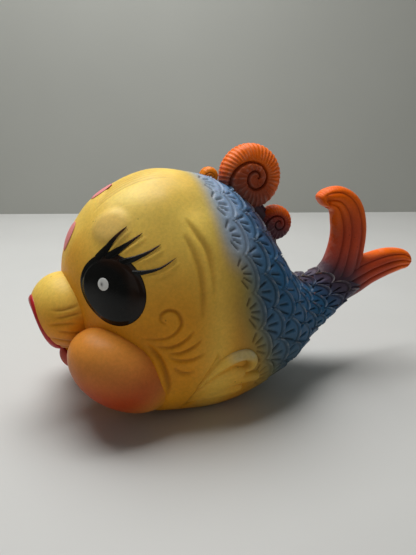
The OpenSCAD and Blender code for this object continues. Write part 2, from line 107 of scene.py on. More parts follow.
# Directions of the short cuts that fan out over a scale, in degrees
NOTCH_FAN = (-58, -29, 0, 29, 58)
# In millimetres: width of the groove behind a scale, and how far before its free edge its raised rim
# and the dip behind the rim lie, each with its width
GROOVE_WIDTH = 0.85
SCALE_RIM = (0.45, 0.36)
SCALE_DIP = (1.5, 0.6)

# Round forms: places as shares of the length, half the head's width and the head's height, radii and
# reaches in millimetres, tilts in degrees
CHEEK_AT = (-0.348, -0.618, 0.243)
CHEEK_RADII = (19.0, 16.5, 13.2)
CHEEK_TILT = 36.0
# Long axis of the left cheek, towards the back and down
CHEEK_AXIS = np.array([0.81, 0.0, -0.59])
CHEEK_STRETCH = 0.12
# How far the swelling behind the cheek reaches
CHEEK_BLEND = 13.0
SNOUT_AT = (-0.425, 0.0, 0.427)
MOUTH_AT = (-0.4705, 0.0, 0.386)
SNOUT_RADII = (13.0, 16.5, 14.2)
SNOUT_TILT = -20.0
MOUTH_TILT = 24.0
MOUTH_REACH = 12.2
MOUTH_BULGE = 2.4
LOWER_LIP_AT = (-0.395, 0.0, 0.228)
# How often the search for the mouth's rim halves its range
HALVINGS = 40
LOWER_LIP_RADII = (8.17, 9.5, 5.89)
# How far the lower lip's paint reaches sideways and up from its middle, and how far that lies low, in degrees
LIP_COAT_REACH = (62.0, 38.0)
LIP_COAT_DROP = 6.0
# Gap in millimetres between the lip's paint and the part's front
FRONT_GAP = 0.05
# Lines across the snout's sides: how many, height of the first over the snout's middle, step down to
# the next, where they start and how long they are
SNOUT_CREASES = 6
CREASE_TOP = 5.2
CREASE_STEP = 3.1
CREASE_START = -80.0
CREASE_LENGTH = 11.0

# Curls: name, place, radius and thickness in millimetres, pleats, columns, how far up the painted shade
# reaches, and how fresh the paint is
CURLS = [
    ("big_curl", (0.0094, 0.0, 0.949), 13.0, 12.0, 52, 400, 0.0, 0.12),
    ("rear_curl", (0.0765, 0.0, 0.733), 7.5, 9.6, 36, 300, 0.5, 0.0),
    ("front_curl", (-0.0929, 0.0, 0.958), 3.9, 7.0, 16, 200, -0.8, 0.8),
]
# Radius at which a curl's relief has its full size
FULL_CURL = 12.0
# The spiral groove of a curl: turns from the top in degrees, and share of the radius
COIL = [
    (200, 1.00), (235, 0.90), (270, 0.76), (315, 0.56), (360, 0.44), (405, 0.39), (450, 0.375), (495, 0.375),
    (540, 0.37), (585, 0.32), (630, 0.26), (675, 0.22), (720, 0.20), (765, 0.17), (810, 0.13), (850, 0.08),
]
# Cuts across the coils, counted from the coil's root, as a share of all
PLEATS = [(-160, 0.0), (0, 0.40), (100, 0.62), (200, 0.78), (300, 0.89), (400, 0.96), (560, 1.0)]
PLEATS_END = 520
# Turn over which the spiral groove grows to its full depth
COIL_FADE = 30
# A curl's rim takes this part of the rows, and the flat faces start inside this share of the radius
RIM_PART = 0.15
RIM_RATIO = 0.93
# A curl is smaller by these millimetres in radius and half thickness, because its relief stands out
CURL_SMALLER = 0.45
CURL_THINNER = 0.25
# Ridge under the curls: places as shares, and thickness as a share of its radius
RIDGE_SHARES = [
    [-0.145, 0.915, 0.35], [-0.085, 0.885, 0.80], [-0.012, 0.835, 1.00],
    [0.035, 0.755, 0.95], [0.058, 0.660, 0.80], [0.066, 0.570, 0.60],
]
RIDGE_RADIUS = 5.0
RIDGE_FLAT = 0.72
RIDGE_FLUTES = 9
# Tail lobes: middle line as shares of the length and height, half width as a share of the height, and
# thickness as a share of the lobe's own
UPPER_LOBE_SHARES = [
    [0.228, 0.386, 0.100, 1.60], [0.268, 0.466, 0.107, 1.25], [0.287, 0.580, 0.101, 1.05],
    [0.291, 0.682, 0.098, 1.00], [0.279, 0.767, 0.091, 0.96], [0.253, 0.820, 0.068, 0.98],
    [0.221, 0.830, 0.048, 0.98], [0.2035, 0.811, 0.034, 0.78],
]
LOWER_LOBE_SHARES = [
    [0.247, 0.392, 0.100, 1.75], [0.306, 0.426, 0.095, 1.30], [0.359, 0.461, 0.082, 1.08],
    [0.412, 0.486, 0.073, 1.00], [0.456, 0.491, 0.059, 0.80], [0.485, 0.480, 0.039, 0.56],
    [0.500, 0.473, 0.006, 0.12],
]

# Tail lobes: name, table, thickness in millimetres, valleys between its flutes, teeth, side of the teeth,
# how far its tip is rounded as a curl, and how far the coral reaches down
LOBES = [
    ("tail_upper_lobe", UPPER_LOBE_SHARES, 9.2, (-0.53, 0.10, 0.53), 44, -1, 1.0, 0.35),
    ("tail_lower_lobe", LOWER_LOBE_SHARES, 8.4, (-0.45, 0.05, 0.53), 40, 1, 0.0, 0.30),
]
# Step along a middle line, and along a lash, that its direction is measured over
PATH_PROBE = 0.02
LASH_PROBE = 0.03

# The squeaker's seat in millimetres: its middle, the radius and height of its steps, how near points
# snap to them, and the height of the skin below which it is cut
SEAT_AT = (-22.95, 0.0)
SEAT_STEPS = [(11.1, 1.5), (9.1, 14.0)]
SEAT_SNAP = 0.9
SEAT_BELOW = 6.0

# The rolls of the belly fin: share along the body, angle around it, half width and height in
# millimetres, and how softly each blends with those before it
FIN_ROLLS = [
    ([(0.405, -46, 2.0, 0.3), (0.430, -39, 3.2, 0.8), (0.455, -33, 4.0, 1.3), (0.480, -30, 4.4, 1.6)], 1.0),
    ([(0.422, -34, 0.6, 0.3), (0.438, -28, 1.2, 1.0), (0.454, -23.5, 1.7, 1.8), (0.470, -21, 2.0, 2.3),
      (0.486, -20, 2.0, 2.6), (0.500, -20.5, 2.0, 2.7), (0.508, -23, 1.9, 2.7), (0.506, -25.6, 1.7, 2.5),
      (0.498, -27, 1.3, 2.1)], 0.7),
    ([(0.455, -34, 1.5, 0.7), (0.480, -32.5, 2.0, 1.5), (0.503, -32.3, 2.2, 2.1),
      (0.517, -33.4, 1.9, 2.1)], 0.6),
    ([(0.440, -41, 1.5, 0.5), (0.466, -39, 2.2, 1.1), (0.488, -38, 2.3, 1.4)], 0.7),
]
# The fin's hollow: its place, its reach along and around the body, and its depth
FIN_HOLLOW = (0.490, -23.8)
FIN_HOLLOW_REACH = (2.6, 1.5)
FIN_HOLLOW_DEPTH = 1.0
# Shares and angles that the fin lies between, and how deep its rim and its back are sunk in the skin
FIN_AREA = (0.392, 0.535, -56.0, -12.0)
FIN_SUNK = 1.5
FIN_BACK = 2.0

# Places on the skin: share along the body and angle around it, 0 on the left side and 90 on top, with
# radii and reaches in millimetres
EYE_AT = (0.2485, 9.4)
EYE_RADII = (12.8, 11.5)
EYE_TURN = -25.0
GLINT_AT = (0.2505, 12.2)
GLINT_RADIUS = 2.15
EYELID_AT = (0.285, 49.0)
EYELID_REACH = np.array([6.8, 6.8, 5.9])
# Painted highlight: a pale yellow glow high on the crown, where it lies and how far it reaches
HIGHLIGHT_AT = (0.335, 62.0)
HIGHLIGHT_REACH = 9.0
# Soft swellings and dents of the head: where, how wide and how high in millimetres
SWELLINGS = [((0.345, 58.0), 8.0, 0.8), ((0.376, 51.0), 8.0, 0.9), ((0.430, 49.0), 6.5, -1.0)]
# Forehead spots: where, and share of the full radii
SPOTS = [((0.150, 95.0), 0.98), ((0.300, 95.5), 0.82)]
SPOT_RADII = (5.6, 4.2)
# Gaps in millimetres between the skin and a coat of paint, and between the skin and the glint
COAT_GAP = 0.12
GLINT_GAP = 1.05
LASHES = [
    [(0.240, 30.0), (0.267, 35.0), (0.293, 39.4), (0.319, 43.4)],
    [(0.264, 28.4), (0.294, 31.8), (0.318, 34.6), (0.342, 37.6)],
    [(0.288, 23.8), (0.318, 25.2), (0.345, 27.4), (0.367, 30.4)],
    [(0.306, 18.0), (0.334, 18.0), (0.361, 19.5), (0.388, 23.8)],
]
LASH_WIDTHS = (1.45, 1.25, 1.10, 0.80)
# The brush strokes of a lash: sideways step, start, end, and width as a share of the lash's
STROKES = [
    (0.0, 0.0, 1.0, 0.95), (1.0, 0.0, 0.66, 0.65), (-1.0, 0.0, 0.80, 0.55),
    (0.7, 0.30, 0.90, 0.28), (-0.6, 0.45, 0.94, 0.22),
]
WHISKERS = [
    [(0.325, -16.5), (0.355, -14), (0.372, -11.5), (0.385, -7.5), (0.389, -4), (0.382, 0), (0.368, 0.5),
     (0.357, -2), (0.357, -5), (0.364, -6)],
    [(0.350, -18), (0.372, -16.5), (0.392, -13), (0.409, -8)],
    [(0.368, -19.7), (0.389, -18), (0.408, -15), (0.421, -11.5)],
    [(0.369, -21), (0.386, -21.7), (0.409, -20.5), (0.426, -17.5)],
    [(0.377, -25), (0.391, -27), (0.410, -26.3)],
]
GILLS = [
    [(0.417, 41), (0.428, 34.5), (0.440, 27), (0.444, 18), (0.444, 7)],
    [(0.408, 33), (0.418, 26), (0.425, 17), (0.426, 8), (0.424, -1)],
    [(0.396, -53), (0.416, -40), (0.431, -31), (0.444, -24), (0.451, -18)],
]
CHEEK_CREASE = [(0.335, -19), (0.352, -22.5), (0.364, -27.5), (0.371, -33.5), (0.370, -38)]
# Lines cut in the face: places, and shares of the usual width, depth and darkness
FACE_LINES = [
    *((places, 1.0, 1.0, 0.55) for places in WHISKERS),
    *((places, 2.2, 1.35, 0.45) for places in GILLS),
    (CHEEK_CREASE, 1.6, 1.4, 0.6),
]
# Thin strands carved in the forehead
STRANDS = [
    [(0.26 + 0.01 * k, 72 + 3.3 * k), (0.33, 75 + 3.4 * k), (0.42, 71 + 3.2 * k)] for k in range(6)
]

# Tints that multiply a colour: warm patches and specks of the vinyl, darker paint and painted shade in its
# cuts, the paint's thin edges, and a painted reflection low in the eyes
WARM_TINT = (1.0, 0.87, 0.74)
CUT_PAINT_AND_SHADE_TINT = (0.30, 0.20, 0.12)
SPECK_TINT = (0.30, 0.24, 0.20)
LIP_EDGE_TINT = (0.62, 0.18, 0.22)
EYE_REFLECTION_TINT = (3.5, 1.4, 0.7)
EYE_RIM_TINT = (2.0, 1.2, 0.8)
GLINT_MARK_TINT = (0.10, 0.10, 0.10)
LASH_TIP_TINT = (20.0, 7.0, 2.2)
# Paint gone thin with wear on edges, and painted highlight along them
WORN_AND_SHEEN_COLOR = (0.80, 0.78, 0.70)

# Stage: places and sizes in metres, and the lens in millimetres
VIEW_TARGET = (-0.016, 0.0, 0.044)
LIGHT_TARGET = (-0.02, 0.0, 0.04)
KEY_AT = (-0.06, 0.198, 0.62)
KEY_SIZE = 0.5
FILL_AT = (-0.25, -0.75, 0.40)
FILL_SIZE = 0.6
LENS = 38.92
GROUND_SIZE = 1.5
FLOOR_AT = (0.0, 0.0, -0.0002)
WALL_AT = (0.17, 0.62, 1.40)
# The backdrop's turn from the camera's angle, and its lean from lying flat
WALL_TURN = 2.0
WALL_LEAN = 82.0


def length(name, description, default):
    return bpy.props.FloatProperty(name=name, description=description, default=default, unit="LENGTH")


def shade(name, description, default):
    return bpy.props.FloatVectorProperty(name=name, description=description, default=default, subtype="COLOR")


class FishSizes(bpy.types.PropertyGroup):
    toy_length: length("Length", "From the lips to the tip of the tail", 0.170)
    head_height: length("Head height", "Height of the head above the floor", 0.088)
    head_width: length("Head width", "Width of the head", 0.076)
    scale_edge: length("Scale edge", "Height of a scale's free edge", 0.0014)
    scale_groove: length("Scale groove", "Depth of the groove behind a scale", 0.0010)
    notch_depth: length("Notch depth", "Depth of the short cuts in a scale", 0.0009)
    line_depth: length("Line depth", "Depth of the lines cut in the face", 0.0008)
    line_width: length("Line width", "Half width of the lines cut in the face", 0.00055)
    curl_groove: length("Curl groove", "Depth of the spiral groove in a curl", 0.0012)
    curl_cut: length("Curl cuts", "Depth of the cuts around a curl", 0.0007)
    fin_flute: length("Tail flutes", "Depth of the flutes along the tail", 0.0011)


class FishPaint(bpy.types.PropertyGroup):
    yellow: shade("Yellow", "Sprayed on the crown", (0.93, 0.64, 0.12))
    # Painted highlight: pale yellow where the light falls high on the crown
    highlight_yellow: shade("Lemon", "Thin paint high on the sides of the head", (1.0, 0.80, 0.22))
    sand: shade("Sand", "Over the eyelids", (0.78, 0.54, 0.24))
    orange: shade("Orange", "Sprayed on the sides of the head", (0.80, 0.33, 0.016))
    tan: shade("Tan", "Sprayed on the cheeks", (0.74, 0.27, 0.055))
    # Under the cheeks this russet is partly a redder spray and partly painted shade
    russet: shade("Russet", "Sprayed under the cheeks", (0.46, 0.06, 0.009))
    olive: shade("Olive", "Where yellow meets blue", (0.20, 0.215, 0.075))
    sage: shade("Sage", "On the rim of the belly fins", (0.42, 0.46, 0.30))
    # Pale blue high up and deep blue low are partly the spray's own tones, partly painted light and painted
    # shade
    pale_blue: shade("Pale blue", "Thin blue over the first scales", (0.29, 0.41, 0.60))
    blue: shade("Blue", "Full blue of the scales", (0.03, 0.13, 0.28))
    deep_blue: shade("Deep blue", "Low on the scales", (0.012, 0.075, 0.155))
    purple: shade("Purple", "Sprayed on the ridge and the tail's root", (0.085, 0.045, 0.065))
    coral: shade("Coral", "Curls and tips of the tail", (1.0, 0.16, 0.002))
    amber: shade("Amber", "Over the small front curl", (0.92, 0.27, 0.01))
    # Brick low on the curls stands partly for painted shade
    brick: shade("Brick", "Low on the curls", (0.36, 0.04, 0.018))
    ember: shade("Ember", "Along the tail's lobes", (0.58, 0.07, 0.022))
    red: shade("Red", "Line around the mouth", (0.50, 0.015, 0.02))
    pink: shade("Pink", "Lower lip", (0.52, 0.085, 0.055))


class FishStage(bpy.types.PropertyGroup):
    floor_color: shade("Floor", "Colour of the floor", (0.57, 0.57, 0.55))
    wall_color: shade("Wall", "Colour of the backdrop", (0.36, 0.365, 0.335))
    key_power: bpy.props.FloatProperty(
        name="Key light", description="Power of the overhead light", default=5.05, unit="POWER")
    fill_power: bpy.props.FloatProperty(
        name="Fill light", description="Power of the light beside the camera", default=0.3, unit="POWER")
    world_strength: bpy.props.FloatProperty(
        name="World", description="Strength of the light from all round", default=0.29)
    camera_azimuth: bpy.props.FloatProperty(
        name="Camera azimuth", description="Camera's angle from the side view in degrees", default=-22.0)
    camera_elevation: bpy.props.FloatProperty(
        name="Camera elevation", description="Camera's angle above the floor in degrees", default=15.0)
    camera_distance: length("Camera distance", "Distance to the middle of the view", 0.240)


def sizes():
    return bpy.context.scene.fish_sizes


def colour(name):
    return np.array(getattr(bpy.context.scene.fish_paint, name)[:])


def spline(table, share):
    """Smooth curve through the rows of a table, at each share from 0 to 1."""
    table = np.asarray(table, float)
    share = np.asarray(share, float)
    last = len(table) - 1
    at = np.clip(share, 0, 1) * last
    i = np.minimum(at.astype(int), last - 1)
    f = (at - i)[..., None]
    a, b = table[np.maximum(i - 1, 0)], table[i]
    c, d = table[i + 1], table[np.minimum(i + 2, last)]
    return (2 * b + f * (c - a) + f**2 * (2 * a - 5 * b + 4 * c - d) + f**3 * (3 * b - a - 3 * c + d)) / 2


def smooth(low, high, value):
    """A soft step from 0 at one value to 1 at another."""
    t = np.clip((value - low) / (high - low), 0, 1)
    return t * t * (3 - 2 * t)


def mix(first, second, amount):
    """Colours between two others."""
    return first + (second - first) * np.asarray(amount)[..., None]


def bell(offset, width):
    """1 in the middle of a soft bump, fading over its width."""
    return np.exp(-(offset / width) ** 2)


def skin_point(share, angle):
    """Point of the skin at a share along the body and an angle around it, 0 left and 90 up."""
    s = spline(SECTION_SHARES, share)
    a = np.radians(angle)
    ca, sa = np.cos(a), np.sin(a)
    power = np.where(sa < 0, BELLY_POWER, CROWN_POWER)
    r = (np.abs(ca) ** power + np.abs(sa) ** power) ** (-1 / power)
    up = sizes().head_height * s[..., 2] * r * sa
    side = sizes().head_width / 2 * s[..., 3] * r * ca * (1 - s[..., 5] * r * sa)
    tilt = np.radians(s[..., 4])
    x = sizes().toy_length * s[..., 0] - up * np.sin(tilt)
    z = sizes().head_height * s[..., 1] + up * np.cos(tilt)
    return np.stack([x, -side, z], -1)


def unit(v):
    """Each vector at a length of 1."""
    return v / np.maximum(np.linalg.norm(v, axis=-1, keepdims=True), 1e-12)


def skin_frame(share, angle):
    """Point, outward normal, and metres per share and per degree."""
    along = skin_point(share + PROBE_SHARE, angle) - skin_point(share - PROBE_SHARE, angle)
    around = skin_point(share, angle + PROBE_ANGLE) - skin_point(share, angle - PROBE_ANGLE)
    along, around = along / (2 * PROBE_SHARE), around / (2 * PROBE_ANGLE)
    lengths = np.linalg.norm(along, axis=-1), np.linalg.norm(around, axis=-1)
    return skin_point(share, angle), unit(np.cross(along, around)), *lengths


def skin_path(places, count=24):
    """A smooth line on the skin through a few places."""
    return skin_point(*spline(places, np.linspace(0, 1, count)).T)


def line_mask(points, path, width):
    """1 along a path, 0 away from it, thinning towards its ends."""
    mask = np.zeros(len(points))
    reach = 3 * width
    near = np.all((points > path.min(0) - reach) & (points < path.max(0) + reach), axis=1)
    p = points[near]
    found = np.zeros(len(p))
    for k in range(len(path) - 1):
        a, step = path[k], path[k + 1] - path[k]
        t = np.clip((p - a) @ step / (step @ step), 0, 1)
        gap = np.linalg.norm(p - a - t[:, None] * step, axis=1)
        along = (k + t) / (len(path) - 1)
        ends = np.clip(np.sin(np.pi * np.clip(along, 0.02, 0.98)), 0.05, 1) ** 0.5
        found = np.maximum(found, ends * bell(gap, width * (0.45 + 0.55 * ends)))
    mask[near] = found
    return mask


def both_sides(points):
    """The points with their right half folded onto the left."""
    folded = points.copy()
    folded[:, 1] = -np.abs(folded[:, 1])
    return folded


def place(shares):
    """A point from its shares of the length, half the head's width and the head's height."""
    s = sizes()
    return np.array([s.toy_length * shares[0], s.head_width / 2 * shares[1], s.head_height * shares[2]])


def turned(offsets, degrees):
    """Offsets turned about the Y axis."""
    t = math.radians(degrees)
    x, y, z = offsets.T
    return np.stack([x * math.cos(t) - z * math.sin(t), y, x * math.sin(t) + z * math.cos(t)], -1)


def ball_way(lat, lon):
    """Direction from a ball's middle at a latitude and a longitude."""
    return np.stack([np.cos(lat) * np.cos(lon), np.cos(lat) * np.sin(lon), np.sin(lat)], -1)


def there_and_back(share):
    """From 0 to 1 over the first half, and back over the second."""
    return np.where(share < 0.5, 2 * share, 2 - 2 * share)


def wrap(name, rows, columns, shape, caps=True):
    """A grid bent by a function of two shares, which gives points and a dict of vertex values."""
    mesh_bm = bmesh.new()
    bmesh.ops.create_grid(mesh_bm, x_segments=rows, y_segments=columns, size=0.5)
    mesh_bm.verts.ensure_lookup_table()
    at = np.array([v.co[:2] for v in mesh_bm.verts]) + 0.5
    points, values = shape(at[:, 0], at[:, 1])
    layers = {}
    for key, data in values.items():
        store = mesh_bm.verts.layers.float_color if data.ndim == 2 else mesh_bm.verts.layers.float
        layers[key] = (store.new(key), data)
    for i, v in enumerate(mesh_bm.verts):
        v.co = points[i]
        for layer, data in layers.values():
            v[layer] = (*data[i], 1.0) if data.ndim == 2 else data[i]
    bmesh.ops.remove_doubles(mesh_bm, verts=mesh_bm.verts, dist=SEAM)
    if caps:
        close_ends(mesh_bm)
    bmesh.ops.recalc_face_normals(mesh_bm, faces=mesh_bm.faces)
    return finish_piece(name, mesh_bm)


def close_ends(mesh_bm):
    """Closes each open end with a face and keeps its rim crisp."""
    left = {e for e in mesh_bm.edges if e.is_boundary}
    while left:
        end, todo = set(), [left.pop()]
        while todo:
            edge = todo.pop()
            edge.smooth = False
            end.add(edge)
            found = {e for v in edge.verts for e in v.link_edges} & left
            left -= found
            todo += found
        bmesh.ops.holes_fill(mesh_bm, edges=list(end), sides=0)


def finish_piece(name, mesh_bm):
    mesh = bpy.data.meshes.new(name)
    mesh_bm.to_mesh(mesh)
    mesh_bm.free()
    for face in mesh.polygons:
        face.use_smooth = True
    piece = bpy.data.objects.new(name, mesh)
    bpy.context.collection.objects.link(piece)
    return piece


def mirrored(piece, name):
    """A copy of a piece on the fish's other side."""
    mesh_bm = bmesh.new()
    mesh_bm.from_mesh(piece.data)
    bmesh.ops.scale(mesh_bm, vec=(1, -1, 1), verts=mesh_bm.verts)
    bmesh.ops.reverse_faces(mesh_bm, faces=mesh_bm.faces)
    return finish_piece(name, mesh_bm)


def joined(parts, name):
    """One piece made of several, which are then removed."""
    mesh_bm = bmesh.new()
    for part in parts:
        mesh_bm.from_mesh(part.data)
        mesh = part.data
        bpy.data.objects.remove(part)
        bpy.data.meshes.remove(mesh)
    return finish_piece(name, mesh_bm)


def fit(piece, material, slot, *nodes):
    """Gives a piece its finish, its body and the nodes that it stands for."""
    piece.data.materials.clear()
    piece.data.materials.append(material)
    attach(piece, BODY)
    if nodes:
        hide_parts(*nodes)


def fit_vinyl(piece, *nodes):
    """Gives a piece the skin's own finish."""
    fit(piece, vinyl_material(), SKIN_SLOT, *nodes)


def fit_pair(left, right_name, material, slot, left_nodes=(), right_nodes=()):
    """Fits a left piece, and its mirror image on the other side."""
    fit(left, material, slot, *left_nodes)
    fit(mirrored(left, right_name), material, slot, *right_nodes)


class Nodes:
    """Short calls for a material's nodes."""

    def __init__(self, name):
        self.material = bpy.data.materials.new(name)
        self.material.use_nodes = True
        self.tree = self.material.node_tree
        self.shader = self.tree.nodes["Principled BSDF"]

    def put(self, value, socket):
        """Links an output to a socket, or gives the socket a number, a vector or a colour."""
        if isinstance(value, bpy.types.NodeSocket):
            self.tree.links.new(value, socket)
        elif isinstance(value, (int, float)):
            socket.default_value = value
        else:
            socket.default_value = (*value[:3], 1.0)[:len(socket.default_value)]

    def add(self, kind, inputs, **settings):
        node = self.tree.nodes.new(kind)
        for key, value in settings.items():
            setattr(node, key, value)
        for key, value in inputs.items():
            self.put(value, node.inputs[key])
        return node

    def attribute(self, name, output):
        return self.add("ShaderNodeAttribute", {}, attribute_name=name).outputs[output]

    def places(self):
        return self.add("ShaderNodeTexCoord", {}).outputs["Object"]

    def noise(self, scale, detail, rough):
        inputs = {"Vector": self.places(), "Scale": scale, "Detail": detail, "Roughness": rough}
        return self.add("ShaderNodeTexNoise", inputs).outputs["Fac"]

    def ranged(self, value, low, high, to_low, to_high):
        inputs = {"Value": value, "From Min": low, "From Max": high, "To Min": to_low, "To Max": to_high}
        return self.add("ShaderNodeMapRange", inputs).outputs["Result"]

    def clouds(self, scale, detail, rough, *limits):
        """Noise whose values between two limits are stretched between two others."""
        return self.ranged(self.noise(scale, detail, rough), *limits)

    def product(self, first, second):
        return self.add("ShaderNodeMath", {0: first, 1: second}, operation="MULTIPLY").outputs[0]

    def blend(self, amount, first, second, mode="MIX"):
        inputs = {0: amount, 6: first, 7: second}
        return self.add("ShaderNodeMix", inputs, data_type="RGBA", blend_type=mode).outputs[2]

    def tinted(self, base, tint):
        return self.blend(1.0, base, tint, "MULTIPLY")

    def bump(self, height, distance, strength):
        return self.add("ShaderNodeBump", {"Height": height, "Distance": distance, "Strength": strength})

    def finish(self, **looks):
        """Fills the shader's inputs, whose spaces are written as underscores."""
        for key, value in looks.items():
            self.put(value, self.shader.inputs[key.replace("_", " ")])
        return self.material


def vinyl_material():
    """Soft vinyl under sprayed paint: colour from the piece's spray, darker in its cuts with paint and
    painted shade, paler on edges with wear and painted highlight.
    """
    if "vinyl_paint" in bpy.data.materials:
        return bpy.data.materials["vinyl_paint"]
    n = Nodes("vinyl_paint")
    base = n.tinted(n.attribute("spray", "Color"), n.clouds(55, 4, 0.6, 0.3, 0.7, 0.90, 1.08))
    base = n.tinted(base, n.clouds(900, 2, 0.7, 0.35, 0.65, 0.94, 1.05))
    base = n.blend(n.clouds(32, 2, 0.5, 0.48, 0.68, 0.0, 0.45), base, n.tinted(base, WARM_TINT))
    # Darker in the cuts: partly paint settled there, partly painted shade
    base = n.blend(n.product(n.attribute("cut", "Fac"), 0.92), base, n.tinted(base, CUT_PAINT_AND_SHADE_TINT))
    # Paler on edges: partly wear, partly painted highlight
    worn_and_sheen = n.product(n.attribute("rub", "Fac"), n.clouds(420, 3, 0.6, 0.42, 0.62, 0.1, 1.0))
    base = n.blend(n.product(worn_and_sheen, 0.8), base, n.blend(0.42, base, WORN_AND_SHEEN_COLOR))
    specks = n.add("ShaderNodeTexVoronoi", {"Vector": n.places(), "Scale": 330, "Randomness": 1.0})
    dots = n.product(n.ranged(specks.outputs["Distance"], 0.05, 0.12, 1.0, 0.0),
                     n.clouds(140, 2, 0.5, 0.56, 0.62, 0.0, 0.7))
    base = n.blend(dots, base, n.tinted(base, SPECK_TINT))
    grain = n.bump(n.noise(1600, 3, 0.6), 0.00004, 0.5)
    waves = n.bump(n.noise(260, 2, 0.5), 0.00012, 0.5)
    n.put(grain.outputs["Normal"], waves.inputs["Normal"])
    return n.finish(
        Base_Color=base, Roughness=n.clouds(160, 4, 0.6, 0.3, 0.7, 0.36, 0.50),
        Normal=waves.outputs["Normal"], Specular_IOR_Level=0.17,
        Subsurface_Weight=0.08, Subsurface_Radius=(1.0, 0.45, 0.2), Subsurface_Scale=0.003)


def enamel(name, base_color, roughness, specular, coat, dirt=0.15):
    """A coat of enamel or paint with brush marks, dust and thin edges."""
    n = Nodes(name)
    dusty = n.tinted(base_color, n.clouds(300, 4, 0.6, 0.3, 0.7, 1 - dirt, 1 + dirt / 2))
    marks = n.bump(n.noise(500, 2, 0.5), 0.00004, 0.4)
    return n.finish(
        Base_Color=n.tinted(n.attribute("spray", "Color"), dusty),
        Roughness=n.clouds(240, 5, 0.65, 0.3, 0.7, roughness * 0.8, roughness * 1.4),
        Normal=marks.outputs["Normal"], Specular_IOR_Level=specular, Coat_Weight=coat, Coat_Roughness=0.12)


def black_enamel():
    return enamel("black_enamel", (0.006, 0.006, 0.006), roughness=0.14, specular=0.22, coat=0.0, dirt=0.3)


def white_enamel():
    return enamel("white_enamel", (0.80, 0.80, 0.78), roughness=0.3, specular=0.30, coat=0.06)


def red_paint():
    return enamel("red_paint", colour("red"), roughness=0.3, specular=0.30, coat=0.06)


def pink_paint():
    return enamel("pink_paint", colour("pink"), roughness=0.5, specular=0.12, coat=0.0)


def grained(name, base_color, roughness, metallic):
    """A plain surface with a fine grain."""
    n = Nodes(name)
    grain = n.bump(n.noise(1200, 3, 0.6), 0.00003, 0.4)
    return n.finish(
        Base_Color=n.tinted(base_color, n.clouds(200, 3, 0.5, 0.3, 0.7, 0.92, 1.05)),
        Roughness=n.clouds(700, 3, 0.6, 0.3, 0.7, roughness * 0.85, roughness * 1.2),
        Normal=grain.outputs["Normal"], Metallic=metallic)


def squeaker_plastic():
    return grained("squeaker_plastic", (0.80, 0.77, 0.70), roughness=0.35, metallic=0.0)


def reed_brass():
    return grained("reed_brass", (0.72, 0.55, 0.24), roughness=0.25, metallic=1.0)


def matt_ground(name, base_color, scale, low, high, roughness):
    """Floor and backdrop: matt, with faint wide clouds."""
    n = Nodes(name)
    clouded = n.tinted(base_color, n.clouds(scale, 3, 0.5, 0.3, 0.7, low, high))
    return n.finish(Base_Color=clouded, Roughness=roughness)


def row_share(row):
    """Share along the body where a row of scales starts on the back."""
    f = row / ROWS
    return GILL_SHARE + (SCALES_END_SHARE - GILL_SHARE) * f * (1 + ROW_GROWTH_SHARE * (f - 1))


def row_slant(row, angle):
    """How much further back a row starts low on the body."""
    return GILL_SLANT_SHARE * (1 - np.sin(np.radians(angle))) * (1 - row / ROWS)


def row_across(row, angle):
    """Place across the scales of a row's edge, from 0 to 1 in each scale."""
    return (angle / 360 * SCALES_ROUND[row] + (0.5 if row % 2 else 0.0)) % 1.0


def row_edge(row, angle):
    """Share along the body of a row's scalloped edge."""
    reach = SCALLOP_REACH_SHARE * (row_share(row) - row_share(max(row - 1, 0)))
    bulge = np.sqrt(np.clip(1 - (2 * row_across(row, angle) - 1) ** 2, 0, 1))
    return row_share(row) + row_slant(row, angle) + reach * bulge


def scale_notches(row, share, angle, per_share, per_degree):
    """Short cuts that fan out over each scale of a row, 1 at their bottoms."""
    pitch = (row_share(row + 1) - row_share(row)) * per_share
    side = (row_across(row + 1, angle) - 0.5) * 360 / SCALES_ROUND[row + 1] * per_degree
    ahead = (share - row_share(row) - row_slant(row, angle)) * per_share - 0.10 * pitch
    radius = np.hypot(ahead, side) / pitch
    turn = np.degrees(np.arctan2(side, np.maximum(ahead, 1e-9)))
    notch = np.zeros(len(share))
    for fan in NOTCH_FAN:
        off = radius * pitch * np.sin(np.radians(np.clip(np.abs(turn - fan), 0, 90)))
        notch = np.maximum(notch, bell(off, (0.20 + 0.22 * radius) * MM))
    window = smooth(0.36, 0.48, radius) * (1 - smooth(0.88, 1.04, radius))
    return notch * window * (ahead > 0)


